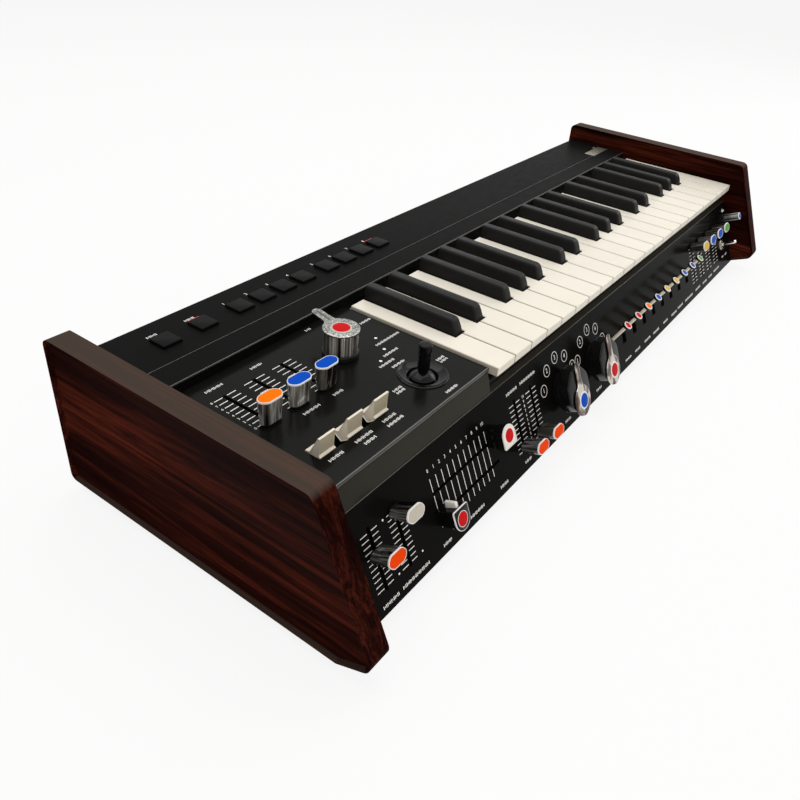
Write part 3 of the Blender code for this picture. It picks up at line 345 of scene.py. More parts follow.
def corner_outline(corners, radii, steps=7):
    """A polygon with arcs at its corners, about centres that stay put while the inset shortens the radius."""
    corners, radii = np.asarray(corners, float), np.asarray(radii, float)
    before = np.roll(corners, 1, 0) - corners
    after = np.roll(corners, -1, 0) - corners
    before /= np.linalg.norm(before, axis=1)[:, None]
    after /= np.linalg.norm(after, axis=1)[:, None]
    half = np.arccos(np.clip((before * after).sum(1), -1, 1)) / 2
    inward = before + after
    inward /= np.linalg.norm(inward, axis=1)[:, None]
    centres = corners + inward * (radii / np.sin(half))[:, None]
    sweep = math.pi / 2 - half
    share = np.linspace(1, -1, steps)
    turn = np.sign(before[:, 0] * after[:, 1] - before[:, 1] * after[:, 0])
    base = np.arctan2(-inward[:, 1], -inward[:, 0])
    angle = base[:, None] + (turn * sweep)[:, None] * share[None]
    direction = np.stack([np.cos(angle), np.sin(angle)], -1)

    def at(inset):
        reach = np.maximum(radii - inset, 1e-5)
        return (centres[:, None] + reach[:, None, None] * direction).reshape(-1, 2)

    return at


def box_outline(width, depth, radii, steps=7):
    """A rectangle with one radius for each corner, from +X+Y round to +X-Y."""
    x, y = width / 2, depth / 2
    return corner_outline(((x, y), (-x, y), (-x, -y), (x, -y)), radii, steps)


def spoon_outline(radius, length, half_width, steps=112, blend=5.0):
    """A disc with an arm along +Y. In each direction the reach is a smooth largest of the disc's radius and
    of the reach of a bar with a round end, and the directions crowd together about the arm."""
    share = (np.arange(steps) + 0.5) / steps * 2 - 1
    angle = math.pi * (0.25 * share + 0.75 * share**3)
    across, along = np.abs(np.sin(angle)), np.cos(angle)

    def at(inset):
        wide, end = half_width - inset, length - half_width
        tip = end * along + np.sqrt(np.maximum(wide**2 - (end * across) ** 2, 0))
        side = wide / np.maximum(across, 1e-6)
        arm = np.where((end * across < wide) & (along > 0), tip, np.where(along > 0, side, 0.0))
        arm = np.minimum(arm, np.maximum(tip, side))
        reach = ((radius - inset) ** blend + np.maximum(arm, 0) ** blend) ** (1 / blend)
        return np.stack([reach * np.sin(angle), reach * np.cos(angle)], -1)

    return at


def wall(low, high, edge, inset=0.0, steps=5):
    """Heights and insets of a wall whose top edge is a quarter circle."""
    angle = np.linspace(0, math.pi / 2, steps)
    heights = high - edge + edge * np.sin(angle)
    return [(low, inset), *zip(heights, inset + edge * (1 - np.cos(angle)))]


def pill(low, high, edge, inset=0.0, steps=5):
    """Heights and insets of a wall with quarter circles at both ends."""
    angle = np.linspace(0, math.pi / 2, steps)
    foot = zip(low + edge - edge * np.cos(angle), inset + edge * (1 - np.sin(angle)))
    return [*foot, *wall(low, high, edge, inset, steps)[1:]]


def prism(outline, levels, shift=(0.0, 0.0)):
    """Rings of an outline carried up through heights, each with its own inset."""
    rings = []
    for height, inset in levels:
        ring = outline(inset) + np.asarray(shift)
        rings.append(np.column_stack([ring, np.full(len(ring), height)]))
    return np.stack(rings)


def spin(profile, steps=64):
    """A profile of (radius, height) turned about the upright axis."""
    profile = np.asarray(profile, float)
    angle = np.arange(steps) / steps * math.tau
    x = profile[:, :1] * np.sin(angle)
    y = profile[:, :1] * np.cos(angle)
    return np.stack([x, y, np.repeat(profile[:, 1:], steps, 1)], -1)


def along_x(profile, start, end, edge=0.0, steps=4):
    """A closed (y, z) outline function carried along X, drawn in by a quarter circle at each end."""
    angle = np.linspace(0, math.pi / 2, steps) if edge else np.zeros(1)
    first = zip(start + edge * (1 - np.sin(angle)), edge * (1 - np.cos(angle[::-1])))
    stations = [(x, inset) for x, inset in first]
    stations += [(start + end - x, inset) for x, inset in stations[::-1]]
    rings = []
    for x, inset in stations:
        ring = profile(inset)
        rings.append(np.column_stack([np.full(len(ring), x), ring]))
    return np.stack(rings)


def turned(points, angle):
    """Points turned about the upright axis, clockwise from above for a positive angle."""
    c, s = math.cos(angle), math.sin(angle)
    return points @ np.array([[c, -s, 0], [s, c, 0], [0, 0, 1]])


def tilted(points, angle):
    """Points leaned from the plane's outward direction towards its second direction."""
    c, s = math.cos(angle), math.sin(angle)
    return points @ np.array([[1, 0, 0], [0, c, -s], [0, s, c]])


def moved(points, place):
    """Points carried to a place."""
    return points + np.asarray(place, float)


# Finishes


class Nodes:
    """A material's node tree with short calls for the nodes that the finishes share."""

    def __init__(self, name, material=None):
        self.material = material or bpy.data.materials.new(name)
        self.material.use_nodes = True
        self.tree = self.material.node_tree
        self.shader = self.tree.nodes["Principled BSDF"]

    def new(self, kind, inputs=None, **settings):
        """A node with its settings, and its inputs given values or linked to sockets."""
        node = self.tree.nodes.new(kind)
        for key, value in settings.items():
            setattr(node, key, value)
        for key, value in (inputs or {}).items():
            self.set(node, key, value)
        return node

    def set(self, node, key, value):
        if isinstance(value, bpy.types.NodeSocket):
            self.tree.links.new(value, node.inputs[key])
        else:
            node.inputs[key].default_value = value

    def where(self, scale=(1, 1, 1), turn=(0, 0, 0)):
        """Object coordinates, stretched and turned."""
        source = self.new("ShaderNodeTexCoord").outputs["Object"]
        sizes = {"Vector": source, "Scale": scale, "Rotation": turn}
        return self.new("ShaderNodeMapping", sizes).outputs["Vector"]

    def noise(self, where, scale, detail=4.0, rough=0.55, distortion=0.0):
        """Cloudy noise about one half."""
        sizes = {"Vector": where, "Scale": scale, "Detail": detail, "Roughness": rough}
        return self.new("ShaderNodeTexNoise", {**sizes, "Distortion": distortion}).outputs["Fac"]

    def ramp(self, factor, stops):
        """Colours at places between zero and one, blended in straight lines."""
        node = self.new("ShaderNodeValToRGB", {"Fac": factor})
        marks = node.color_ramp.elements
        while len(marks) < len(stops):
            marks.new(0.5)
        for mark, (place, colour) in zip(marks, stops):
            mark.position = place
            mark.color = (*colour, 1.0)
        return node.outputs["Color"]

    def spread(self, factor, low, high, start=0.3, end=0.7):
        """The factor, stretched from its usual range to low and high."""
        sizes = {"Value": factor, "From Min": start, "From Max": end, "To Min": low, "To Max": high}
        return self.new("ShaderNodeMapRange", sizes).outputs["Result"]

    def blend(self, factor, first, second, kind="MIX"):
        """Two colours mixed by a factor."""
        node = self.new("ShaderNodeMix", data_type="RGBA", blend_type=kind)
        self.set(node, 0, factor)
        self.set(node, 6, first)
        self.set(node, 7, second)
        return node.outputs[2]

    def bump(self, height, distance, strength=1.0, normal=None):
        sizes = {"Height": height, "Distance": distance, "Strength": strength}
        if normal:
            sizes["Normal"] = normal
        return self.new("ShaderNodeBump", sizes).outputs["Normal"]

    def give(self, **sockets):
        """The material, with these inputs of its shader set."""
        for key, value in sockets.items():
            self.set(self.shader, key.replace("_", " "), value)
        return self.material


def shade(colour, amount):
    """Each channel of a colour times an amount, one at most."""
    return tuple(min(1.0, channel * amount) for channel in colour)


def moulded(name, colour, rough, specular, grain, depth, drift):
    """Plastic or ink: a slow drift of colour, gloss that varies with handling, and a fine moulded grain."""
    n = Nodes(name)
    where = n.where()
    slow = n.noise(where, 23.0, 3.0)
    fine = n.noise(where, grain, 2.0)
    handled = n.noise(where, 95.0, 5.0, 0.65)
    tone = n.ramp(slow, ((0.3, shade(colour, 1 - drift)), (0.7, shade(colour, 1 + drift))))
    rough_range = n.spread(handled, rough - 0.05, rough + 0.08)
    normal = n.bump(fine, depth, 0.6)
    return n.give(Base_Color=tone, Roughness=rough_range, Normal=normal, Specular_IOR_Level=specular)


def metal(name, colour, rough, scratch=0.04, grain=(60.0, 60.0, 60.0)):
    """Metal: a thin haze of smudges and hairlines in its gloss."""
    n = Nodes(name)
    haze = n.noise(n.where(), 55.0, 4.0, 0.5)
    hair = n.noise(n.where(grain), 14.0, 3.0, 0.7)
    tone = n.ramp(haze, ((0.25, shade(colour, 0.92)), (0.75, colour)))
    smudges = n.spread(haze, rough, rough + 0.03)
    gloss = n.new("ShaderNodeMath", {0: smudges, 1: n.spread(hair, 0.0, scratch)}).outputs[0]
    return n.give(Base_Color=tone, Roughness=gloss, Metallic=1.0, Normal=n.bump(hair, 0.000001, 0.2))


def banded_chrome(name, lean, dim):
    """Plated body of an upright control: painted reflections, light and dark bands along its own axis, under a
    faint haze.
    """
    n = Nodes(name)
    upright_axis = n.where(turn=(lean, 0.0, 0.0))
    stretch = {"Vector": upright_axis, "Scale": (1.0, 1.0, 0.015)}
    along = n.new("ShaderNodeMapping", stretch).outputs["Vector"]
    wide = n.noise(along, 240.0, 2.0, 0.5)
    fine = n.noise(along, 900.0, 2.0, 0.5)
    # Painted reflections and highlights: dark, brown, grey and near-white bands
    stops = ((0.38, (0.012, 0.011, 0.010)), (0.44, (0.17, 0.155, 0.13)), (0.51, (0.30, 0.27, 0.23)),
             (0.57, (0.90, 0.89, 0.87)), (0.63, (0.10, 0.09, 0.08)), (0.70, (0.38, 0.35, 0.31)))
    bands = n.ramp(wide, [(place, shade(colour, dim)) for place, colour in stops])
    lines = n.ramp(fine, ((0.34, (0.45, 0.45, 0.45)), (0.50, (1.0, 1.0, 1.0))))
    tone = n.blend(0.6, bands, lines, "MULTIPLY")
    haze = n.noise(n.where(), 60.0, 4.0, 0.5)
    gloss = n.spread(haze, 0.10, 0.18)
    return n.give(Base_Color=tone, Roughness=gloss, Metallic=0.5, Normal=n.bump(fine, 0.000001, 0.2))


def dark_chrome(name):
    """Chrome plate whose colour is a painted reflection of a dark room: slow clouds between brown shade and
    silver.
    """
    n = Nodes(name)
    where = n.where((1.0, 0.6, 0.6))
    clouds = n.noise(where, 130.0, 2.0, 0.4)
    stops = ((0.40, (0.055, 0.040, 0.034)), (0.50, (0.20, 0.155, 0.13)), (0.58, (0.58, 0.54, 0.48)))
    tone = n.ramp(clouds, stops)
    haze = n.noise(where, 300.0, 3.0)
    gloss = n.spread(haze, 0.10, 0.17)
    return n.give(Base_Color=tone, Roughness=gloss, Metallic=1.0, Normal=n.bump(haze, 0.000001, 0.2))


def cast_chrome(name):
    """Plated casting with an uneven face, its bump real and its sparkle painted: small patches between grey
    painted shade and bright painted glints.
    """
    n = Nodes(name)
    where = n.where()
    patches = n.noise(where, 900.0, 3.0, 0.6)
    slow = n.noise(where, 150.0, 2.0, 0.5)
    stops = ((0.38, (0.16, 0.16, 0.15)), (0.50, (0.31, 0.31, 0.29)), (0.62, (0.62, 0.62, 0.59)))
    veil = n.ramp(slow, ((0.35, (0.62, 0.62, 0.60)), (0.65, (1.0, 1.0, 1.0))))
    tone = n.blend(0.8, n.ramp(patches, stops), veil, "MULTIPLY")
    gloss = n.spread(patches, 0.18, 0.34)
    return n.give(Base_Color=tone, Roughness=gloss, Metallic=1.0, Normal=n.bump(patches, 0.00002, 0.3))


def key_ivory(name):
    """Ivory-coloured plastic with painted shade: darker where the top rounds over beside each gap, and much
    darker on the side faces in the gaps, except the first key's outer side. The distance from the nearest gap
    is how far x, counted in keys from the first gap, is from a whole number."""
    n = Nodes(name)
    where = n.where()
    slow = n.noise(where, 18.0, 3.0)
    tone = n.ramp(slow, ((0.3, (0.84, 0.79, 0.68)), (0.7, (0.90, 0.85, 0.74))))
    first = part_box("natural_key_01")[0].x - KEY_GAP / 2
    along = n.new("ShaderNodeSeparateXYZ", {"Vector": where}).outputs["X"]
    count = {"Value": along, "From Min": first, "From Max": first + KEY_PITCH}
    count = n.new("ShaderNodeMapRange", count, clamp=False).outputs["Result"]
    from_gap = n.new("ShaderNodeMath", {0: count, 1: 0.5}, operation="PINGPONG").outputs[0]
    # Painted shade: darker ivory where the top rounds over beside each gap
    tone = n.blend(n.spread(from_gap, 0.75, 0.0, 0.020, 0.046), tone, (0.30, 0.26, 0.20, 1.0))
    # Painted shade: near-black on the side faces inside the gaps, all but the first key's outer side
    geometry = n.new("ShaderNodeNewGeometry").outputs["Normal"]
    normal = n.new("ShaderNodeSeparateXYZ", {"Vector": geometry})
    side = n.new("ShaderNodeMath", {0: normal.outputs["X"]}, operation="ABSOLUTE").outputs[0]
    inner = {0: count, 1: KEY_GAP / KEY_PITCH * 2}
    inner = n.new("ShaderNodeMath", inner, operation="GREATER_THAN").outputs[0]
    painted_gap_shade = {0: n.spread(side, 0.0, 1.0, 0.75, 0.95), 1: inner}
    painted_gap_shade = n.new("ShaderNodeMath", painted_gap_shade, operation="MULTIPLY").outputs[0]
    tone = n.blend(painted_gap_shade, tone, (0.06, 0.05, 0.04, 1.0))
    gloss = n.spread(n.noise(where, 80.0, 4.0, 0.6), 0.28, 0.40)
    grain = n.bump(n.noise(where, 1500.0, 2.0), 0.000006, 0.5)
    return n.give(Base_Color=tone, Roughness=gloss, Normal=grain, Specular_IOR_Level=0.4)


def facing(name, axis, colour, sign=1.0, most=1.0, start=0.9):
    """Paints light or shade: adds a second colour to a finish on the faces that look one way."""
    n = Nodes(name, bpy.data.materials[name])
    tone = n.shader.inputs["Base Color"].links[0].from_socket
    geometry = n.new("ShaderNodeNewGeometry").outputs["Normal"]
    way = n.new("ShaderNodeSeparateXYZ", {"Vector": geometry})
    share = n.spread(way.outputs[axis], 0.0, most, sign * start, sign * 0.97)
    return n.give(Base_Color=n.blend(share, tone, (*colour, 1.0)))


def panel_enamel(name):
    """The front panel's gloss black, with a browner and paler painted reflection on the level strip above the
    lean.
    """
    painted(name, (0.0045, 0.0042, 0.0038), 0.17, 0.016, 0.000002)
    return facing(name, "Z", (0.040, 0.036, 0.028))


def deck_enamel(name):
    """The control deck's gloss black, with a browner and paler painted reflection on the upright face above
    the front panel.
    """
    painted(name, (0.0062, 0.0061, 0.0053), 0.15, 0.055, 0.000003)
    return facing(name, "Y", (0.032, 0.029, 0.020), -1.0)


def tab_cream(name):
    """Cream plastic whose front faces are painted a deeper tan as painted shade."""
    moulded(name, (0.83, 0.77, 0.64), 0.36, 0.3, 1200.0, 0.000006, 0.04)
    return facing(name, "Y", (0.46, 0.40, 0.29), -1.0)


def rosewood(name):
    """Dark red-brown wood: bands and streaks run along Y, with fine dark pores and a satin varnish, and a
    grey-brown painted sheen on the faces that look up.
    """
    looks = bpy.context.scene.synth_case
    dark, red = tuple(looks.wood_dark), tuple(looks.wood_red)
    n = Nodes(name)
    bands = n.noise(n.where((3.0, 0.055, 0.9)), 62.0, 6.0, 0.62, 0.9)
    streaks = n.noise(n.where((2.5, 0.03, 1.0)), 330.0, 4.0, 0.6, 0.4)
    pores = n.noise(n.where((1.0, 0.02, 1.0)), 1100.0, 2.0, 0.5)
    patches = n.noise(n.where((1.0, 0.45, 1.0)), 9.0, 3.0, 0.5)
    base = n.ramp(bands, ((0.32, shade(dark, 0.55)), (0.48, dark), (0.60, red), (0.74, shade(red, 1.5))))
    deep = n.ramp(streaks, ((0.36, (0.35, 0.32, 0.32)), (0.58, (1.0, 1.0, 1.0))))
    tone = n.blend(0.8, base, deep, "MULTIPLY")
    holes = n.ramp(pores, ((0.36, (0.25, 0.2, 0.2)), (0.46, (1.0, 1.0, 1.0))))
    tone = n.blend(0.55, tone, holes, "MULTIPLY")
    clouds = n.ramp(patches, ((0.3, (0.55, 0.5, 0.5)), (0.7, (1.25, 1.15, 1.1))))
    tone = n.blend(0.75, tone, clouds, "MULTIPLY")
    normal = n.bump(pores, 0.00002, 0.5, n.bump(streaks, 0.00003, 0.4))
    rough = n.spread(bands, 0.40, 0.52)
    n.give(Base_Color=tone, Roughness=rough, Normal=normal, Specular_IOR_Level=0.004)
    # Painted sheen: a paler grey-brown on the faces that look up
    return facing(name, "Z", (0.150, 0.122, 0.098), most=0.36, start=0.5)


def painted(name, colour, rough, specular, orange_peel=0.000012):
    """Black enamel on steel: fine orange peel, faint scuffs that are rougher, and a slow drift of tone."""
    n = Nodes(name)
    where = n.where()
    peel = n.noise(where, 900.0, 3.0, 0.5)
    slow = n.noise(where, 7.0, 3.0)
    dust = n.noise(where, 2600.0, 1.0)
    marks = n.noise(n.where((1.0, 3.0, 1.0), (0, 0, 0.5)), 60.0, 6.0, 0.7)
    tone = n.ramp(slow, ((0.3, shade(colour, 0.85)), (0.7, shade(colour, 1.15))))
    specks = n.ramp(dust, ((0.78, (0.0, 0.0, 0.0)), (0.86, (0.012, 0.012, 0.012))))
    tone = n.blend(1.0, tone, specks, "ADD")
    gloss = n.spread(marks, rough, rough + 0.10, 0.35, 0.75)
    normal = n.bump(peel, orange_peel, 0.5)
    return n.give(Base_Color=tone, Roughness=gloss, Normal=normal, Specular_IOR_Level=specular)


def board_green(name):
    """Circuit board lacquer: green with straight darker traces."""
    n = Nodes(name)
    sizes = {
        "Vector": n.where((160.0, 160.0, 160.0)), "Color1": (0.01, 0.10, 0.04, 1),
        "Color2": (0.012, 0.13, 0.05, 1), "Mortar": (0.03, 0.20, 0.09, 1), "Mortar Size": 0.03,
    }
    traces = n.new("ShaderNodeTexBrick", sizes).outputs["Color"]
    fine = n.noise(n.where(), 500.0, 3.0)
    return n.give(Base_Color=traces, Roughness=n.spread(fine, 0.35, 0.5), Normal=n.bump(fine, 0.00003, 0.4))


def lens_look(name):
    """A small lamp's lens: pale, glossy and faintly clouded."""
    n = Nodes(name)
    cloud = n.noise(n.where(), 700.0, 2.0)
    tone = n.ramp(cloud, ((0.3, (0.55, 0.56, 0.55)), (0.7, (0.75, 0.76, 0.74))))
    return n.give(Base_Color=tone, Roughness=n.spread(cloud, 0.08, 0.16), Normal=n.bump(cloud, 0.00001, 0.3))


# Each finish: its maker, then colour, roughness and the maker's other sizes
FINISHES = {
    "wood": (rosewood,),
    "cover_black": (painted, (0.0045, 0.0045, 0.0043), 0.40, 0.017),
    "deck_black": (deck_enamel,),
    "panel_black": (panel_enamel,),
    "pan_black": (painted, (0.014, 0.014, 0.014), 0.5, 0.3),
    # Paler than the black enamel: painted highlight on the rounded bends
    "edge_black": (painted, (0.060, 0.055, 0.048), 0.30, 0.6, 0.000004),
    "ivory": (key_ivory,),
    "sharp": (moulded, (0.0075, 0.0072, 0.0068), 0.42, 0.12, 1800.0, 0.00001, 0.10),
    "cream": (moulded, (0.83, 0.76, 0.62), 0.36, 0.45, 1200.0, 0.000012, 0.04),
    "tab_cream": (tab_cream,),
    "button": (moulded, (0.0035, 0.0035, 0.0033), 0.38, 0.035, 1700.0, 0.00001, 0.12),
    "black_gloss": (moulded, (0.004, 0.004, 0.004), 0.08, 0.16, 1500.0, 0.000001, 0.15),
    "black_plastic": (moulded, (0.007, 0.007, 0.007), 0.34, 0.2, 1500.0, 0.00001, 0.15),
    "rubber": (moulded, (0.003, 0.003, 0.003), 0.24, 0.10, 1100.0, 0.00001, 0.15),
    "orange": (moulded, (0.98, 0.185, 0.0), 0.4, 0.03, 1500.0, 0.000003, 0.04),
    "blue": (moulded, (0.0, 0.070, 0.50), 0.4, 0.03, 1500.0, 0.000003, 0.05),
    "red": (moulded, (0.60, 0.008, 0.010), 0.4, 0.03, 1500.0, 0.000003, 0.05),
    "yellow": (moulded, (0.72, 0.45, 0.02), 0.4, 0.05, 1500.0, 0.000003, 0.05),
    "green": (moulded, (0.08, 0.30, 0.03), 0.4, 0.05, 1500.0, 0.000003, 0.05),
    "white": (moulded, (0.82, 0.80, 0.75), 0.30, 0.5, 1500.0, 0.000006, 0.03),
    "pearl": (moulded, (0.54, 0.48, 0.40), 0.25, 0.45, 600.0, 0.00001, 0.10),
    "ink": (moulded, (0.94, 0.93, 0.89), 0.45, 0.4, 2500.0, 0.000004, 0.04),
    "vermilion": (moulded, (0.90, 0.058, 0.0), 0.4, 0.03, 1500.0, 0.000003, 0.05),
    "red_ink": (moulded, (0.55, 0.012, 0.02), 0.45, 0.4, 2500.0, 0.000004, 0.06),
    "silver": (moulded, (0.80, 0.80, 0.79), 0.25, 0.5, 1500.0, 0.000003, 0.04),
    "chrome": (metal, (0.72, 0.71, 0.69), 0.06),
    "brass": (metal, (0.66, 0.60, 0.47), 0.14),
    "satin_chrome": (metal, (0.60, 0.60, 0.585), 0.24, 0.08),
    "steel": (metal, (0.40, 0.40, 0.41), 0.33, 0.12, (8.0, 90.0, 90.0)),
    "dark_steel": (metal, (0.10, 0.10, 0.10), 0.35, 0.12, (8.0, 90.0, 90.0)),
    "plate": (metal, (0.30, 0.29, 0.22), 0.34, 0.12, (2.0, 90.0, 90.0)),
    "deck_bands": (banded_chrome, 0.0, 0.85),
    "panel_bands": (banded_chrome, LEAN - math.radians(90), 0.30),
    "cast_chrome": (cast_chrome,),
    "dark_chrome": (dark_chrome,),
    "board": (board_green,),
    "lens": (lens_look,),
}


def finish(look):
    """The named finish, made when it is first asked for."""
    name = f"synth_{look}"
    maker, *sizes = FINISHES[look]
    return bpy.data.materials.get(name) or maker(name, *sizes)


def dress(node, look):
    """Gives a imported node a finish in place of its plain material."""
    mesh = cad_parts[node].data
    mesh.materials.clear()
    mesh.materials.append(finish(look))


# Pieces of the case and the keys


def case_finishes():
    """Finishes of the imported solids, by the kind of node."""
    looks = {
        "bottom_pan": "pan_black", "top_cover": "cover_black", "front_panel": "panel_black",
        "control_deck": "deck_black", "key_frame": "dark_steel", "main_board": "board",
        "reverb_tank": "steel", "joystick_gimbal": "dark_steel", "left_cheek": "wood", "right_cheek": "wood",
    }
    kinds = {"natural_key": "ivory", "sharp_keys": "sharp", "rocker_tab": "cream", "lever_bank": "cream"}
    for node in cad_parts:
        look = looks.get(node, "satin_chrome")
        for start, kind in kinds.items():
            if node.startswith(start):
                look = kind
        dress(node, look)


def make_cheeks():
    """Cheeks: the side outline with an arc at each corner, carried through the thickness and drawn in by a
    quarter circle at both faces."""
    edge = bpy.context.scene.synth_case.cheek_edge
    for name in ("left_cheek", "right_cheek"):
        low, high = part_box(name)
        rise = high.z - NOSE_HEIGHT
        corners = (
            (high.y, low.z), (high.y, high.z), (low.y + rise * math.tan(LEAN), high.z),
            (low.y, NOSE_HEIGHT), (low.y + CHEEK_TOE, low.z),
        )
        outline = corner_outline(corners, np.multiply(edge, CHEEK_CORNERS), 9)
        surface = Surface().skin(along_x(outline, low.x, high.x, edge, 7))
        piece(f"{name}_board", surface, "floor", "case", "wood", (name,), sharp=60)


def bead(name, y, z, radius, start, end):
    """A rounded edge: a circle just inside a bend, standing a hair proud of both faces, in a paler painted
    highlight.
    """
    inside = radius * BEAD_SINK

    def ring(inset):
        return round_outline(radius, 20)(inset) + np.array([y + inside, z - inside])

    surface = Surface().skin(along_x(ring, start, end))
    piece(name, surface, "floor", "case", "edge_black")


def make_edges():
    """Rounded bends that catch the light along the cover, the deck and the front panel, and a line along the
    cover's groove, all paler than the black around them as painted highlights.
    """
    reach = INNER_X + GAP
    for name, y, z, radius, end in (
        ("cover_edge", COVER_FRONT, COVER_TOP, 0.0006, -reach),
        ("cover_line", COVER_FRONT + COVER_GROOVE, COVER_TOP, 0.0003, -reach),
        ("deck_edge", PANEL_TOP_Y + DECK_FRONT_EDGE, DECK_TOP, 0.0011, DECK_RIGHT),
        ("panel_edge", PANEL_TOP_Y, PANEL_TOP_Z, 0.0006, -reach),
    ):
        bead(name, y, z, radius, reach, end)


def sharp_rings(low, high, centre):
    """One sharp key: rounded rectangles that narrow and draw back at the front as they rise. The width falls
    in a straight line, the top edge is a quarter circle, and the front draws back by a power of the height."""
    sizes = SHARP_SHAPE
    share = np.array([0.0, 0.30, 0.62, 0.80, 0.90, 0.96, 0.99, 1.0])
    width = sizes["foot"] + (sizes["top"] - sizes["foot"]) * np.clip((share - 0.25) / 0.65, 0, 1)
    round_in = sizes["edge"] * (1 - np.sqrt(np.clip(1 - ((share - 0.88) / 0.12).clip(0, 1) ** 2, 0, 1)))
    lead = sizes["slope"] * np.clip((share - 0.2) / 0.8, 0, 1) ** 1.6
    rings = []
    for part, wide, tuck, back in zip(share, width, round_in, lead):
        front = low[1] + back + tuck * 2.2
        outline = box_outline(wide - 2 * tuck, high[1] - front, SHARP_CORNERS, 5)(0.0)
        height = low[2] + (high[2] - low[2]) * part
        ring = outline + np.array([centre, (front + high[1]) / 2])
        rings.append(np.column_stack([ring, np.full(len(ring), height)]))
    return np.stack(rings)


def make_sharps():
    """Fifteen sharps, each on the comb that carries its octave."""
    naturals = [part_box(f"natural_key_{i + 1:02d}") for i in range(NATURALS)]
    rear = COVER_FRONT - COVER_BEHIND_KEYS
    places = [i for i in range(NATURALS - 1) if i % 7 in SHARP_SHIFTS]
    combs = ("sharp_keys_low", "sharp_keys_middle", "sharp_keys_high")
    for number, i in enumerate(places):
        comb = combs[number // SHARPS_ON_A_COMB]
        low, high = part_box(comb)
        centre = naturals[i][1].x + KEY_GAP / 2 + SHARP_SHIFTS[i % 7]
        foot = naturals[0][0].z + SHARP_FOOT
        surface = Surface().skin(sharp_rings((0, low.y, foot), (0, rear, high.z), centre))
        replaced = (comb,) if number % SHARPS_ON_A_COMB == 0 else ()
        piece(f"sharp_key_{number + 1:02d}", surface, "floor", comb, "sharp", replaced)


# Pieces of the controls


def fittings(node, plane, place, parts):
    """Pieces that ride on one node, each closed from its rings at a place. The body stands for the solid."""
    for name, rings, look, slot in parts:
        stands_for = (node,) if name == "body" else ()
        piece(f"{node}_{name}", Surface().skin(moved(rings, place)), plane, node, look, stands_for)


def make_fader(node, plane, colour):
    """A slide cap: dark foot, long waisted body, rim and inlaid face. Each is one long outline carried up
    through heights and insets. The waist's inset falls from low to high as one plus a cosine."""
    x, y, top = middle(node, plane)
    low, high = local_box(node, plane)
    wide, deep = high[0] - low[0], high[1] - low[1]
    rim = bpy.context.scene.synth_controls.cap_rim
    share = np.linspace(0, 1, 9)
    body_top = top - CAP_RIM_HEIGHT
    heights = CAP_WAIST_LOW + (body_top - CAP_WAIST_LOW) * share
    waist = CAP_WAIST * (1 + np.cos(share * math.pi))
    body = prism(long_outline(wide, deep), [(CAP_BODY_LOW, 0.0013), *zip(heights, waist)])
    foot = prism(long_outline(wide - CAP_FOOT_IN[0], deep - CAP_FOOT_IN[1]), pill(*CAP_FOOT, 0.0005))
    rim_levels = (
        (body_top, 0.0), (top - 0.0003, 0.0), (top, 0.0003), (top, rim), (top - 0.0005, rim + 0.0001),
    )
    face_levels = ((top - 0.0006, 0.0), (top - 0.0002, 0.0), (top - 0.0001, 0.0009), (top - 0.00005, 0.0026))
    fittings(node, plane, (x, y, 0), (
        ("body", body, f"{plane}_bands", "chrome"), ("foot", foot, "black_plastic", "black_plastic"),
        ("rim", prism(long_outline(wide, deep), rim_levels), "silver", "chrome"),
        ("face", prism(long_outline(wide - 2 * rim, deep - 2 * rim), face_levels), colour, None),
    ))


def make_all_faders():
    """The caps of all eleven faders, by plane and colour of face."""
    for i, colour in enumerate(("orange", "blue", "blue")):
        make_fader(f"deck_fader_{i + 1}", "deck", colour)
    colours = {"volume": "vermilion", "reverb": "pearl", "attack": "vermilion", "decay": "vermilion"}
    for name, colour in colours.items():
        make_fader(f"{name}_fader", "panel", colour)
    for i, colour in enumerate(("yellow", "blue", "blue", "green")):
        make_fader(f"right_fader_{i + 1}", "panel", colour)


def make_traveler(node, side, top_look, rim_look):
    """A cap with one flat and one round edge: dark body, top plate and a round red face."""
    x, y, top = middle(node, "panel")
    low, high = local_box(node, "panel")
    wide, deep = high[0] - low[0], high[1] - low[1]
    end = wide / 2 - 0.0002
    radii = (end, end, TRAVELER_CORNER, TRAVELER_CORNER)
    outline = box_outline(wide, deep, radii[::side], 12)
    share = np.linspace(0, 1, 7)
    heights = 0.0004 + (top - 0.0016) * share
    body = prism(outline, list(zip(heights, 0.0006 + 0.0005 * np.cos(share * math.pi))))
    edge = TRAVELER_RIM
    rim_levels = (
        (top - 0.0010, 0.00005), (top - 0.0003, 0.0), (top, 0.0003), (top, edge), (top - 0.0003, edge),
    )
    plate_levels = ((top - 0.0006, edge), (top - 0.0003, edge), (top - 0.00015, edge + 0.0002))
    off = (0, -side * deep * 0.02 + side * 0.0005, 0)
    disc = moved(prism(round_outline(TRAVELER_DISC, 48), wall(top - 0.0006, top, 0.0004)), off)
    ring = moved(prism(round_outline(TRAVELER_RING, 48), wall(top - 0.0006, top - 0.0001, 0.0003)), off)
    fittings(node, "panel", (x, y, 0), (
        ("body", body, "black_gloss", "black_plastic"),
        ("rim", prism(outline, rim_levels), rim_look, "cream_plastic"),
        ("plate", prism(outline, plate_levels), top_look, None),
        ("ring", ring, rim_look, None), ("disc", disc, "red", None),
    ))


def make_travelers():
    """Both travelling sliders, and the pale nib of the dark one."""
    make_traveler("traveler_high", 1, "white", "white")
    make_traveler("traveler_low", -1, "black_gloss", "silver")
    low, high = local_box("traveler_low", "panel")
    outline = box_outline(0.0026, 0.0050, (0.0007,) * 4, 5)
    nib = moved(prism(outline, pill(0.0050, 0.0135, 0.0006)), ((low[0] + high[0]) / 2, high[1] + 0.0012, 0))
    piece("traveler_low_nib", Surface().skin(nib), "panel", "traveler_low", "white")


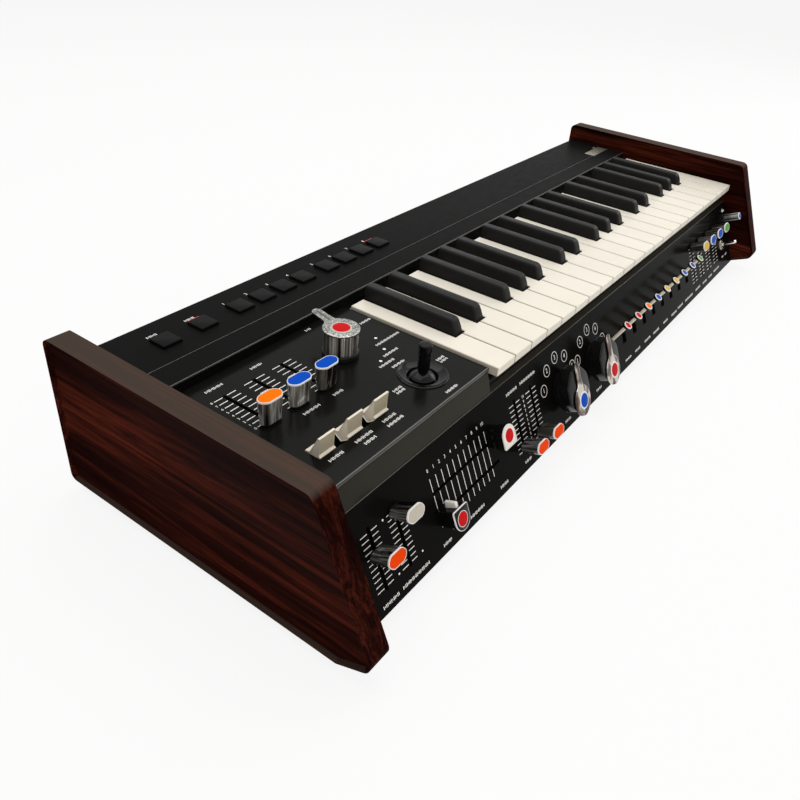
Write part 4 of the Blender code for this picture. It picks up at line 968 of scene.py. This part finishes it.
def make_mode_knob():
    """The mode switch: a black base, a plated body, and a plate whose outline is a disc with an arm. The
    plate holds a groove and a pale ring round a raised face."""
    top = middle("mode_knob", "deck")[2]
    plate_low = top - 0.0017
    base = prism(round_outline(KNOB_BASE, 72), pill(0.0003, 0.0044, 0.0006))
    body_levels = [(0.0044, 0.0004), (0.0052, 0.0), *wall(0.0062, plate_low, 0.0004)]
    body = prism(round_outline(KNOB_BODY, 96), body_levels)
    outline = spoon_outline(*KNOB_PLATE)
    plate = prism(outline, pill(plate_low, top - 0.0004, 0.0005))
    groove = prism(long_outline(*KNOB_GROOVE), wall(top - 0.0009, top - 0.00035, 0.0002))
    groove = moved(groove[..., [1, 0, 2]], (0, KNOB_GROOVE_Y, 0))
    ring = prism(round_outline(KNOB_RING, 48), wall(top - 0.0010, top - 0.00025, 0.0003))
    disc = prism(round_outline(KNOB_DISC, 48), wall(top - 0.0010, top, 0.0003))
    parts = (
        ("base", base, "black_plastic", "black_plastic"), ("body", body, "deck_bands", "chrome"),
        ("plate", plate, "cast_chrome", "chrome"), ("groove", groove, "dark_steel", "chrome"),
        ("ring", ring, "pearl", "cream_plastic"), ("disc", disc, "red", None),
    )
    parts = [(name, turned(rings, KNOB_TURN), *looks) for name, rings, *looks in parts]
    fittings("mode_knob", "deck", (*KNOB_PLACE, 0), parts)


def facets(radius, soft, steps=96):
    """An eight-sided outline with a flat at the top: in each direction the reach of the nearest side, held
    under the corners' radius by a smooth smallest."""
    angle = (np.arange(steps) + 0.5) / steps * math.tau
    side = math.tau / 8
    off = (angle + side / 2) % side - side / 2

    def at(inset):
        flat = (radius * math.cos(side / 2) - inset) / np.cos(off)
        corner = (radius - soft - inset) * np.ones(steps)
        reach = (flat**-40.0 + corner**-40.0) ** (-1 / 40.0)
        return np.stack([reach * np.sin(angle), reach * np.cos(angle)], -1)

    return at


def crowned(rings, height, spread):
    """A plate's rings, lifted by a bell curve about its middle line."""
    lifted = rings.copy()
    lifted[..., 2] += height * np.exp(-((rings[..., 0] / spread) ** 2))
    return lifted


def make_rotary(node, colour):
    """A large rotary switch: a neck, an eight-sided body, and a chrome spoon-shaped plate with a round face
    below the axis. The plate's height rises by a bell curve towards its middle line."""
    x, _, top = middle(node, "panel")
    below = (0, -PLATE_DROP, 0)
    neck = prism(round_outline(ROTARY_NECK, 64), [(0.0003, 0.0), (0.0060, 0.0)])
    body_levels = [(0.0056, 0.0004), (0.0061, 0.0), (0.0140, 0.0008), *wall(0.0142, 0.0160, 0.0012, 0.0008)]
    body = prism(facets(ROTARY_BODY, 0.0006), body_levels)
    outline = spoon_outline(*ROTARY_PLATE, 128)
    levels = [*pill(0.0161, top - 0.0009, 0.0006), (top - 0.0008, 0.0014), (top - 0.0007, 0.0024)]
    plate = moved(crowned(prism(outline, levels), 0.0004, 0.0030), below)
    ring = moved(prism(round_outline(ROTARY_RING, 56), wall(top - 0.0014, top - 0.0002, 0.0004)), below)
    disc = moved(prism(round_outline(ROTARY_DISC, 56), wall(top - 0.0012, top, 0.0003)), below)
    fittings(node, "panel", (x, ROTARY_DROP, 0), (
        ("neck", neck, "black_plastic", "black_plastic"), ("body", body, "black_gloss", "black_plastic"),
        ("plate", plate, "dark_chrome", "chrome"), ("ring", ring, "silver", "chrome"),
        ("disc", disc, colour, None),
    ))


def make_joystick():
    """The stick with its grip, a dome, and the dish round it, all profiles turned about the upright axis. The
    dome's profile is an arc about the centre that the stick tilts on."""
    top = middle("joystick", "deck")[2]
    angle = np.linspace(0.20, 0.86, 10)
    arc = np.stack([np.sin(angle), np.cos(angle)], -1)
    centre = np.array([0.0, STICK_CENTRE])
    dome = spin(np.concatenate([centre + DOME * arc, (centre + (DOME - DOME_WALL) * arc)[::-1]]))
    grip = top - 0.0060
    stick = spin(
        (
            (0.0030, STICK_CENTRE), (0.0033, 0.0020), (0.0038, 0.0040), (0.0041, 0.0065),
            (0.0042, grip - 0.0020), (0.0043, grip), (0.0045, grip + 0.0010), (0.0043, top - 0.0030),
            (0.0045, top - 0.0018), (0.0044, top - 0.0006), (0.0038, top - 0.0001), (0.0024, top),
        ),
        40,
    )
    dish = spin(
        (
            (0.0173, 0.00005), (0.0172, 0.0006), (0.0168, 0.0009), (0.0163, 0.0009), (0.0158, 0.0005),
            (0.0140, -0.0002), (0.0118, -0.0006), (0.0108, -0.0008), (0.0106, -0.0010), (0.0108, -0.0012),
            (0.0140, -0.0008), (0.0143, -0.0003),
        ),
        96,
    )
    place = (*STICK_PLACE, 0)
    surface = Surface().skin(moved(stick, place))
    piece("joystick_stick", surface, "deck", "joystick", "rubber", ("joystick",))
    for name, rings, body in (("dome", dome, "joystick"), ("dish", dish, "case")):
        surface = Surface().skin(moved(rings, place), True)
        piece(f"joystick_{name}", surface, "deck", body, "black_gloss")


def make_tabs():
    """Rocker tabs: a side outline with rounded corners carried across the width. The foot runs down to a
    rounded point under the deck."""
    for i in range(3):
        node = f"rocker_tab_{i + 1}"
        low, high = local_box(node, "deck")
        y = (low[1] + high[1]) / 2
        foot, top = (high[1] - low[1]) / 2, high[2]
        corners = (
            (foot, -0.0012), (foot, 0.0003), (0.0020, 0.0011), (-0.0034, top), (-0.0049, top),
            (-0.0041, 0.0011), (-foot, 0.0003), (-foot, -0.0012), (0.0, -0.0052),
        )
        radii = (0.0003, 0.0003, 0.0006, 0.0004, 0.0004, 0.0005, 0.0003, 0.0003, 0.0012)
        outline = corner_outline([(a + y, b) for a, b in corners], radii, 5)
        surface = Surface().skin(along_x(outline, low[0], high[0], 0.0005))
        piece(f"{node}_fin", surface, "deck", node, "tab_cream", (node,))


def make_levers():
    """Nine flat levers leaned up from the panel: tapering blade, round head, rim and coloured face."""
    colours = ("red", "red", "orange", "blue", "yellow", "yellow", "blue", "blue", "green")
    blade_levels = [(0.0, 0.0), (0.010, -0.0001), (0.0195, 0.0), *wall(0.0200, 0.0275, 0.0005)]
    rim_levels = ((0.0276, 0.0002), (0.0284, 0.0), (0.0288, 0.0002), (0.0290, 0.0005), (0.0288, 0.0008))
    face_levels = ((0.0280, 0.0), (0.0287, 0.0), (0.0289, 0.0006))
    blade = prism(box_outline(*LEVER_BLADE, (0.0010,) * 4, 4), blade_levels)
    head = prism(round_outline(LEVER_HEAD, 40), pill(0.0258, 0.0283, 0.0006))
    rim = prism(round_outline(LEVER_HEAD, 40), rim_levels)
    face = prism(round_outline(LEVER_FACE, 40), face_levels)
    number = 0
    for bank, count in (("lever_bank_left", 5), ("lever_bank_right", 4)):
        first = local_box(bank, "panel")[0][0] + LEVER_BAR_END
        for i in range(count):
            place = (first + i * KEY_PITCH, LEVER_DROP, -LEVER_DEPTH)
            number += 1
            for name, rings, look, slot in (
                ("blade", blade, "cream", "cream_plastic"), ("head", head, "black_gloss", "black_plastic"),
                ("rim", rim, "white", "cream_plastic"), ("face", face, colours[number - 1], None),
            ):
                replaced = (bank,) if i == 0 and name == "blade" else ()
                surface = Surface().skin(moved(tilted(rings, LEVER_TILT), place))
                piece(f"lever_{number}_{name}", surface, "panel", bank, look, replaced)


def make_buttons():
    """Program buttons: rounded squares drawn in by a quarter circle at the top."""
    node = "program_buttons"
    _, y, rise = middle(node, "cover")
    button = prism(box_outline(BUTTON_SIZE, BUTTON_SIZE, (0.0011,) * 4, 6), wall(-0.0060, rise, 0.0006))
    for i, x in enumerate(button_places()):
        surface = Surface().skin(moved(button, (x, y, 0)))
        replaced = (node,) if i == 0 else ()
        piece(f"program_button_{i + 1:02d}", surface, "cover", node, "button", replaced)


def make_toggle(x):
    """The bat toggle, a leaning turned profile, with its nut and washer."""
    place = (x, TOGGLE_DROP, 0)
    nut = prism(round_outline(TOGGLE_NUT, 6), pill(0.0001, 0.0024, 0.0003))
    washer = prism(round_outline(TOGGLE_WASHER, 40), pill(0.0000, 0.0006, 0.0002))
    for name, rings, look in (("nut", nut, "brass"), ("washer", washer, "satin_chrome")):
        piece(f"toggle_{name}", Surface().skin(moved(rings, place)), "panel", "case", look)
    bat = spin(
        (
            (0.0012, -0.0050), (0.0013, -0.0028), (0.0024, -0.0016), (0.0028, 0.0), (0.0023, 0.0017),
            (0.0013, 0.0027), (0.0013, 0.0060), (0.0017, 0.0110), (0.0022, 0.0145), (0.0022, 0.0160),
            (0.0016, 0.0171), (0.0006, 0.0174),
        ),
        32,
    )
    surface = Surface().skin(moved(tilted(bat, TOGGLE_TILT), place))
    piece("toggle_bat", surface, "panel", "toggle_switch", "chrome", ("toggle_switch",))


def make_trim_knob():
    """The tall small knob: a dark foot, a toothed body, a pale rim and a blue end face."""
    x, _, top = middle("trim_knob", "panel")
    foot_top = top * TRIM_FOOT_SHARE
    foot = prism(round_outline(TRIM_FOOT, 40), pill(0.0003, foot_top, 0.0004))
    levels = [(foot_top - 0.0004, 0.0), *wall(foot_top, top - 0.0006, 0.0005)]
    body = prism(round_outline(TRIM_BODY, 96, TRIM_TEETH, 0.00012), levels)
    rim = prism(round_outline(TRIM_RIM, 40), wall(top - 0.0010, top - 0.0001, 0.0003))
    face = prism(round_outline(TRIM_FACE, 40), wall(top - 0.0010, top, 0.0002))
    fittings("trim_knob", "panel", (x, TRIM_DROP, 0), (
        ("body", body, "panel_bands", "chrome"), ("foot", foot, "black_plastic", "black_plastic"),
        ("rim", rim, "silver", "cream_plastic"), ("face", face, "blue", None),
    ))


def make_lamp():
    """The small lamp: a domed lens in a ring, both turned profiles."""
    lens = ((0.0019, 0.0), (0.0018, 0.0008), (0.0014, 0.0014), (0.0007, 0.0018), (0.0002, 0.0019))
    bezel = ((0.0026, 0.0), (0.0026, 0.0004), (0.0022, 0.0007), (0.0019, 0.0004), (0.0019, 0.0))
    for name, profile, look, slot in (
        ("lens", lens, "lens", "cream_plastic"), ("bezel", bezel, "chrome", "chrome"),
    ):
        surface = Surface().skin(moved(spin(profile, 32), LAMP_PLACE))
        piece(f"lamp_{name}", surface, "panel", "case", look)


# Printed marks


def lines(surface, left, right, low, high):
    """Thin printed blocks between rows of left and right ends and of low and high edges."""
    left, right, low, high, depth = np.broadcast_arrays(left, right, low, high, INK)
    surface.blocks(np.column_stack([left, low, -depth]), np.column_stack([right, high, depth]))


def ticks(surface, left, right, rows, thick=0.0006):
    """Short printed lines: one block for each row."""
    rows = np.asarray(rows, float)
    lines(surface, left, right, rows - thick / 2, rows + thick / 2)


def upright(surface, columns, low, high):
    """Printed lines that run along the plane's second direction."""
    lines(surface, columns - PRINT_LINE / 2, columns + PRINT_LINE / 2, low, high)


def label(surface, x, y, length):
    """A plain mark in place of a word: a row of fine strokes, every third one shorter."""
    count = max(3, int(length / LABEL_STEP))
    columns = x + (np.arange(count) + 0.5) * length / count
    half = np.where(np.arange(count) % 3 == 1, 0.55, 1.0) * LABEL_HEIGHT / 2
    lines(surface, columns - LABEL_STROKE / 2, columns + LABEL_STROKE / 2, y - half, y + half)


def dot(surface, x, y, radius):
    """A printed disc."""
    surface.skin(moved(prism(round_outline(radius, 20), ((-INK, 0.0), (INK, 0.0))), (x, y, 0)))


def circle_line(surface, x, y, radius):
    """A printed ring."""
    inner = radius - PRINT_LINE
    profile = ((radius, -INK), (radius, INK), (inner, INK), (inner, -INK))
    surface.skin(moved(spin(profile, 40), (x, y, 0)), True)


GLYPHS = {}


def glyph(character):
    """Points and faces of one plain numeral one unit tall, a text curve made a thin closed mesh."""
    if character not in GLYPHS:
        text = bpy.data.curves.new("numeral", "FONT")
        text.body = character
        text.align_x = text.align_y = "CENTER"
        text.extrude = NUMERAL_DEPTH
        text.resolution_u = 3
        obj = bpy.data.objects.new("numeral", text)
        bpy.context.scene.collection.objects.link(obj)
        mesh = bpy.data.meshes.new_from_object(obj)
        points = np.empty(len(mesh.vertices) * 3)
        mesh.vertices.foreach_get("co", points)
        faces = [np.array(polygon.vertices) for polygon in mesh.polygons]
        bpy.data.objects.remove(obj)
        bpy.data.meshes.remove(mesh)
        bpy.data.curves.remove(text)
        GLYPHS[character] = (points.reshape(-1, 3), faces)
    return GLYPHS[character]


def numeral(surface, text, x, y, height):
    """Plain numbers, one after the other, centred on a point."""
    scale = np.array([height / NUMERAL_TALL, height / NUMERAL_TALL, INK / NUMERAL_DEPTH])
    for i, character in enumerate(text):
        points, faces = glyph(character)
        offset = (i - (len(text) - 1) / 2) * height * NUMERAL_STEP
        surface.add(points * scale + np.array([x + offset, y, 0]), faces)


def deck_print():
    """Scales of the three deck faders, numbers, dots of the mode switch and plain marks for the labels."""
    ink = Surface()
    for i in range(3):
        x = middle(f"deck_fader_{i + 1}", "deck")[0]
        ticks(ink, x - 0.0083, x - 0.0016, DECK_ROWS)
        ticks(ink, x + 0.0020, x + 0.0092, DECK_ROWS)
    first = middle("deck_fader_1", "deck")[0]
    for i, row in enumerate(DECK_ROWS):
        numeral(ink, str(i), first - 0.0102, row, 0.0021)
    for x, y in DECK_DOTS:
        dot(ink, x, y, 0.0011)
    for x, y, length in DECK_LABELS:
        label(ink, x, y, length)
    piece("deck_print", ink, "deck", "case", "ink")


def fader_scale(ink, node):
    """Eleven ticks on both sides of an upright slot."""
    x = middle(node, "panel")[0]
    ticks(ink, x - TICKS_LEFT[0], x - TICKS_LEFT[1], PANEL_ROWS, PRINT_LINE)
    ticks(ink, x + TICKS_RIGHT[0], x + TICKS_RIGHT[1], PANEL_ROWS, PRINT_LINE)


def panel_print():
    """Scales and numbers of the front panel, the rings round both rotary switches, and plain marks where the
    labels are."""
    ink = Surface()
    for name in ("volume_fader", "reverb_fader", "attack_fader", "decay_fader"):
        fader_scale(ink, name)
    for i in range(4):
        fader_scale(ink, f"right_fader_{i + 1}")
    for x, y in PANEL_DOTS:
        dot(ink, x, y, 0.0007)
    for low, high in COLUMN_LINES:
        upright(ink, PANEL_COLUMNS, low, high)
    for i, x in enumerate(PANEL_COLUMNS):
        numeral(ink, str(i), x, -0.0140, 0.0025)
    between = (middle("attack_fader", "panel")[0] + middle("decay_fader", "panel")[0]) / 2
    for i, row in enumerate(PANEL_ROWS[::-1]):
        numeral(ink, str(i), between, row, 0.0022)
    for node in ("rotary_knob_left", "rotary_knob_right"):
        x = middle(node, "panel")[0]
        for i, angle in enumerate(ICON_TURNS):
            place = (x + ICON_REACH * math.sin(angle), ROTARY_DROP + ICON_REACH * math.cos(angle))
            circle_line(ink, *place, ICON_RADIUS)
            numeral(ink, str(i + 1), *place, 0.0040)
    for x, y, length in PANEL_LABELS:
        label(ink, x, y, length)
    piece("panel_print", ink, "panel", "case", "ink")


def cover_print():
    """Numbers behind the program buttons, two red marks and two plain marks."""
    ink = Surface()
    places = button_places()
    for i, x in enumerate(places[2:]):
        numeral(ink, str(i + 1), x - 0.0055, BUTTON_Y + 0.0112, 0.0028)
    for x in places[:2]:
        label(ink, x - 0.0065, BUTTON_Y + 0.0115, 0.0085)
    piece("cover_print", ink, "cover", "case", "ink")
    red = Surface()
    for x in (places[1], places[9]):
        ticks(red, x - 0.0050, x + 0.0050, [BUTTON_Y + 0.0098], 0.0012)
    piece("cover_print_red", red, "cover", "case", "red_ink")


# Small parts


def screw(name, plane, place, radius=0.0030, look="dark_steel"):
    """A domed screw head with a cross recess: a turned profile and two thin bars sunk in its top."""
    profile = (
        (radius, 0.0), (radius, 0.0003), (radius * 0.8, 0.0008), (radius * 0.45, 0.00105), (0.0001, 0.0011),
    )
    piece(name, Surface().skin(moved(spin(profile, 28), place)), plane, "case", look)
    arm, thin = radius * 0.5, radius * 0.11
    low = np.array([(-arm, -thin, 0.0007), (-thin, -arm, 0.0007)])
    high = np.array([(arm, thin, 0.00115), (thin, arm, 0.00115)])
    bars = Surface().blocks(moved(low, place), moved(high, place))
    piece(f"{name}_cross", bars, plane, "case", "black_plastic")


def make_sockets():
    """Rear sockets' nuts and washers, turned profiles, and the power inlet's frame."""
    nut_profile = (
        (SOCKET_HOLE, 0.0), (0.0072, 0.0), (0.0072, 0.0014), (0.0066, 0.0021), (0.0056, 0.0023),
        (SOCKET_HOLE, 0.0018),
    )
    nut = spin(nut_profile, 48)
    washer = spin(((SOCKET_HOLE, 0.0), (0.0088, 0.0), (0.0088, 0.0005), (SOCKET_HOLE, 0.0005)), 48)
    for i, from_right in enumerate(SOCKETS_FROM_RIGHT):
        for name, rings, look in (("nut", nut, "chrome"), ("washer", washer, "satin_chrome")):
            surface = Surface().skin(moved(rings, (INNER_X + from_right, SOCKET_Z, 0)), True)
            piece(f"socket_{name}_{i + 1}", surface, "rear", "case", look)
    rim = box_outline(0.0170, 0.0190, (0.0015,) * 4, 5)
    hole = box_outline(0.0104, 0.0124, (0.0006,) * 4, 5)
    outside = prism(rim, ((0.0, 0.0), (0.0014, 0.0), (0.0018, 0.0004)))
    inside = prism(hole, ((0.0018, 0.0), (0.0, 0.0)))
    rings = moved(np.concatenate([outside, inside]), (-INNER_X - INLET_FROM_LEFT, SOCKET_Z, 0))
    piece("inlet_frame", Surface().skin(rings, True), "rear", "case", "black_plastic")


def make_small_parts():
    """Cover screws, bare nameplate, foot pads, the sockets' fittings, and the screws of the rear wall."""
    for i, x in enumerate(COVER_SCREWS):
        screw(f"cover_screw_{i + 1}", "cover", (x, COVER_SCREW_Y, 0))
    plate = prism(box_outline(*NAMEPLATE, (0.0006,) * 4, 4), pill(-0.0001, 0.0006, 0.0002))
    piece("nameplate", Surface().skin(moved(plate, NAMEPLATE_PLACE)), "cover", "case", "plate")
    foot = prism(round_outline(FOOT_PAD, 48), pill(0.0, 0.0078, 0.0012))
    for i, place in enumerate(FEET):
        surface = Surface().skin(moved(foot, (*place, 0)))
        piece(f"foot_pad_{i + 1}", surface, "floor", "case", "rubber")
    make_sockets()
    for i, x in enumerate(np.linspace(-REAR_SCREW_REACH, REAR_SCREW_REACH, 5)):
        for name, height in (("rear_screw", 0.0900), ("rear_screw_low", 0.0160)):
            screw(f"{name}_{i + 1}", "rear", (x, height, 0), REAR_SCREW, "steel")


def button_places():
    """x of each program button, with the wider spaces after some of them."""
    steps = [BUTTON_PITCH + BUTTON_SPACES.get(i, 0.0) for i in range(9)]
    return BUTTON_FIRST_FROM_LEFT + INNER_X + np.concatenate([[0.0], np.cumsum(steps)])


# Stage


def seen_directly(tree):
    """One for rays from the camera, off a glossy face or through a clear one, and zero for the others."""
    path = tree.nodes.new("ShaderNodeLightPath")
    share = path.outputs["Is Camera Ray"]
    for kind in ("Is Glossy Ray", "Is Transmission Ray"):
        either = tree.nodes.new("ShaderNodeMath")
        either.operation = "MAXIMUM"
        tree.links.new(share, either.inputs[0])
        tree.links.new(path.outputs[kind], either.inputs[1])
        share = either.outputs[0]
    return share


def make_floor():
    """A large floor on a grid, pale for every ray, and lifted to white for the camera and reflections."""
    looks = bpy.context.scene.synth_stage
    row = FLOOR_STEPS + 1
    side = np.linspace(-FLOOR_HALF, FLOOR_HALF, row)
    x, y = np.meshgrid(side, side)
    points = np.stack([x, y, np.full_like(x, FLOOR_LEVEL)], -1).reshape(-1, 3)
    i = (np.arange(FLOOR_STEPS)[:, None] * row + np.arange(FLOOR_STEPS)[None]).reshape(-1)
    mesh = bpy.data.meshes.new("floor")
    mesh.from_pydata(points.tolist(), [], np.stack([i, i + 1, i + row + 1, i + row], -1).tolist())
    n = Nodes("stage_floor")
    tone = n.ramp(n.noise(n.where(), 1.5, 2.0), ((0.3, shade(looks.floor, 0.985)), (0.7, tuple(looks.floor))))
    n.give(Base_Color=tone, Roughness=0.9, Specular_IOR_Level=0.1)
    lift = {0: seen_directly(n.tree), 1: looks.floor_lift}
    share = n.new("ShaderNodeMath", lift, operation="MULTIPLY").outputs[0]
    glow = n.new("ShaderNodeEmission", {"Color": (1, 1, 1, 1), "Strength": 1.0}).outputs[0]
    mix = n.new("ShaderNodeMixShader", {0: share, 1: n.shader.outputs[0], 2: glow})
    n.set(n.tree.nodes["Material Output"], "Surface", mix.outputs[0])
    mesh.materials.append(n.material)
    floor = bpy.data.objects.new("floor", mesh)
    bpy.context.scene.collection.objects.link(floor)


def make_world():
    """Soft grey surroundings that the camera and reflections see as white."""
    looks = bpy.context.scene.synth_stage
    world = bpy.data.worlds.new("studio")
    bpy.context.scene.world = world
    world.use_nodes = True
    tree = world.node_tree
    back = tree.nodes["Background"]
    seen = tree.nodes.new("ShaderNodeBackground")
    mix = tree.nodes.new("ShaderNodeMixShader")
    for node, colour, strength in (
        (back, (1.0, 0.985, 0.96, 1.0), looks.ambient), (seen, (1.0, 1.0, 1.0, 1.0), 1.0),
    ):
        node.inputs["Color"].default_value = colour
        node.inputs["Strength"].default_value = strength
    for i, socket in enumerate((seen_directly(tree), back.outputs[0], seen.outputs[0])):
        tree.links.new(socket, mix.inputs[i])
    tree.links.new(mix.outputs[0], tree.nodes["World Output"].inputs[0])


def lamp(name, place, target, size, power, colour):
    """A rectangular lamp that looks from its place at a target."""
    light = bpy.data.lights.new(name, "AREA")
    light.shape = "RECTANGLE"
    light.size, light.size_y = size
    light.energy = power
    light.color = colour
    obj = bpy.data.objects.new(name, light)
    bpy.context.scene.collection.objects.link(obj)
    obj.location = place
    obj.rotation_euler = axes_matrix(np.subtract(place, target)).to_euler()


def axes_matrix(back, roll=0.0):
    """Turn of a lamp or camera that looks along minus back, rolled about that line."""
    back = back / np.linalg.norm(back)
    side = np.cross((0, 0, 1), back)
    side /= np.linalg.norm(side)
    up = np.cross(back, side)
    right = math.cos(roll) * side + math.sin(roll) * up
    top = -math.sin(roll) * side + math.cos(roll) * up
    return Matrix(np.stack([right, top, back], 1).tolist())


def make_camera():
    """The camera at the photograph's viewing angle."""
    looks = bpy.context.scene.synth_stage
    data = bpy.data.cameras.new("camera")
    data.lens = looks.lens
    data.sensor_width = 36.0
    data.clip_start = 0.01
    camera = bpy.data.objects.new("camera", data)
    bpy.context.scene.collection.objects.link(camera)
    azimuth, rise = looks.azimuth, looks.elevation
    back = (math.sin(azimuth) * math.cos(rise), -math.cos(azimuth) * math.cos(rise), math.sin(rise))
    turn = axes_matrix(np.array(back), looks.roll).to_4x4()
    camera.matrix_world = Matrix.Translation(looks.camera_place) @ turn
    bpy.context.scene.camera = camera


# Add-on


class SynthCaseLooks(bpy.types.PropertyGroup):
    wood_dark: bpy.props.FloatVectorProperty(
        name="Dark wood", description="Colour of the wood between its red streaks", subtype="COLOR",
        size=3, min=0.0, max=1.0, default=(0.021, 0.0046, 0.0032))
    wood_red: bpy.props.FloatVectorProperty(
        name="Red wood", description="Colour of the wood's red streaks", subtype="COLOR",
        size=3, min=0.0, max=1.0, default=(0.070, 0.0135, 0.0072))
    cheek_edge: bpy.props.FloatProperty(
        name="Cheek edge", description="Radius of the rounded edges of the cheeks", unit="LENGTH",
        min=0.001, max=0.006, default=0.003)


class SynthControlLooks(bpy.types.PropertyGroup):
    cap_rim: bpy.props.FloatProperty(
        name="Cap rim", description="Width of the pale rim round a slide cap's coloured face", unit="LENGTH",
        min=0.0004, max=0.002, default=0.00058)


class SynthStageLooks(bpy.types.PropertyGroup):
    floor: bpy.props.FloatVectorProperty(
        name="Floor", description="Colour of the floor", subtype="COLOR", size=3, min=0.0, max=1.0,
        default=(0.90, 0.90, 0.895))
    floor_lift: bpy.props.FloatProperty(
        name="Floor lift", description="Share of plain white that the camera sees in the floor",
        min=0.0, max=1.0, default=0.86)
    ambient: bpy.props.FloatProperty(
        name="Ambient", description="Strength of the surroundings", min=0.0, max=2.0, default=0.42)
    lens: bpy.props.FloatProperty(
        name="Lens", description="Focal length of the camera on a 36 mm sensor", default=34.2)
    camera_place: bpy.props.FloatVectorProperty(
        name="Camera place", description="Where the camera stands", subtype="TRANSLATION", unit="LENGTH",
        size=3, default=(-0.57265, -0.26010, 0.35850))
    azimuth: bpy.props.FloatProperty(
        name="Azimuth", description="Direction that the camera looks from", subtype="ANGLE",
        default=math.radians(-56.83))
    elevation: bpy.props.FloatProperty(
        name="Elevation", description="Height angle that the camera looks from", subtype="ANGLE",
        default=math.radians(34.63))
    roll: bpy.props.FloatProperty(
        name="Roll", description="Turn of the camera about its line of sight", subtype="ANGLE",
        default=math.radians(5.22))


class SYNTH_OT_case(bpy.types.Operator):
    """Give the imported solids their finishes, and make the cheeks and the rounded bends"""

    bl_idname = "synth.case"
    bl_label = "Case"

    def execute(self, context):
        case_finishes()
        make_cheeks()
        make_edges()
        return {"FINISHED"}


class SYNTH_OT_sharps(bpy.types.Operator):
    """Make the fifteen sharp keys"""

    bl_idname = "synth.sharps"
    bl_label = "Sharp keys"

    def execute(self, context):
        make_sharps()
        return {"FINISHED"}


class SYNTH_OT_faders(bpy.types.Operator):
    """Make the caps of the slide controls"""

    bl_idname = "synth.faders"
    bl_label = "Slide caps"

    def execute(self, context):
        make_all_faders()
        make_travelers()
        return {"FINISHED"}


class SYNTH_OT_switches(bpy.types.Operator):
    """Make the mode switch and both rotary switches"""

    bl_idname = "synth.switches"
    bl_label = "Rotary switches"

    def execute(self, context):
        make_mode_knob()
        make_rotary("rotary_knob_left", "blue")
        make_rotary("rotary_knob_right", "red")
        return {"FINISHED"}


class SYNTH_OT_joystick(bpy.types.Operator):
    """Make the joystick, its dome and its dish"""

    bl_idname = "synth.joystick"
    bl_label = "Joystick"

    def execute(self, context):
        make_joystick()
        return {"FINISHED"}


class SYNTH_OT_levers(bpy.types.Operator):
    """Make the rocker tabs and the nine levers"""

    bl_idname = "synth.levers"
    bl_label = "Tabs and levers"

    def execute(self, context):
        make_tabs()
        make_levers()
        return {"FINISHED"}


class SYNTH_OT_buttons(bpy.types.Operator):
    """Make the program buttons"""

    bl_idname = "synth.buttons"
    bl_label = "Program buttons"

    def execute(self, context):
        make_buttons()
        return {"FINISHED"}


class SYNTH_OT_end_controls(bpy.types.Operator):
    """Make the toggle, the small knob and the lamp"""

    bl_idname = "synth.end_controls"
    bl_label = "End controls"

    def execute(self, context):
        make_toggle(middle("trim_knob", "panel")[0])
        make_trim_knob()
        make_lamp()
        return {"FINISHED"}


class SYNTH_OT_print(bpy.types.Operator):
    """Print the scales, numbers and plain marks"""

    bl_idname = "synth.print"
    bl_label = "Printed marks"

    def execute(self, context):
        deck_print()
        panel_print()
        cover_print()
        return {"FINISHED"}


class SYNTH_OT_small_parts(bpy.types.Operator):
    """Make the screws, nameplate, foot pads and rear sockets"""

    bl_idname = "synth.small_parts"
    bl_label = "Small parts"

    def execute(self, context):
        make_small_parts()
        return {"FINISHED"}


class SYNTH_OT_stage(bpy.types.Operator):
    """Make the floor, the lights and the camera"""

    bl_idname = "synth.stage"
    bl_label = "Stage"

    def execute(self, context):
        make_floor()
        make_world()
        for settings in LAMPS:
            lamp(*settings)
        make_camera()
        context.scene.view_settings.view_transform = "Standard"
        return {"FINISHED"}


OPERATORS = (
    SYNTH_OT_stage, SYNTH_OT_case, SYNTH_OT_sharps, SYNTH_OT_faders, SYNTH_OT_switches, SYNTH_OT_joystick,
    SYNTH_OT_levers, SYNTH_OT_buttons, SYNTH_OT_end_controls, SYNTH_OT_print, SYNTH_OT_small_parts,
)


class VIEW3D_PT_synth(bpy.types.Panel):
    """Sidebar panel with the looks that can be set and a button for each group of pieces"""

    bl_label = "Synthesizer"
    bl_idname = "VIEW3D_PT_synth"
    bl_space_type = "VIEW_3D"
    bl_region_type = "UI"
    bl_category = "Synthesizer"

    def draw(self, context):
        for group in (context.scene.synth_case, context.scene.synth_controls, context.scene.synth_stage):
            column = self.layout.column()
            for name in group.__annotations__:
                column.prop(group, name)
        for operator in OPERATORS:
            self.layout.operator(operator.bl_idname)


CLASSES = (SynthCaseLooks, SynthControlLooks, SynthStageLooks, *OPERATORS, VIEW3D_PT_synth)


def register():
    """Registers the classes and hangs the groups of looks on the scene."""
    for item in CLASSES:
        bpy.utils.register_class(item)
    bpy.types.Scene.synth_case = bpy.props.PointerProperty(type=SynthCaseLooks)
    bpy.types.Scene.synth_controls = bpy.props.PointerProperty(type=SynthControlLooks)
    bpy.types.Scene.synth_stage = bpy.props.PointerProperty(type=SynthStageLooks)


def unregister():
    """Takes the groups and the classes away again."""
    del bpy.types.Scene.synth_stage
    del bpy.types.Scene.synth_controls
    del bpy.types.Scene.synth_case
    for item in reversed(CLASSES):
        bpy.utils.unregister_class(item)


def corners(box):
    """A box's lowest and highest corner as plain lists."""
    return [list(corner) for corner in box]


def main():
    """Runs every step in order."""
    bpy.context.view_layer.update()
    register()
    for operator in OPERATORS:
        group, name = operator.bl_idname.split(".")
        getattr(getattr(bpy.ops, group), name)()


if __name__ == "__main__":
    main()
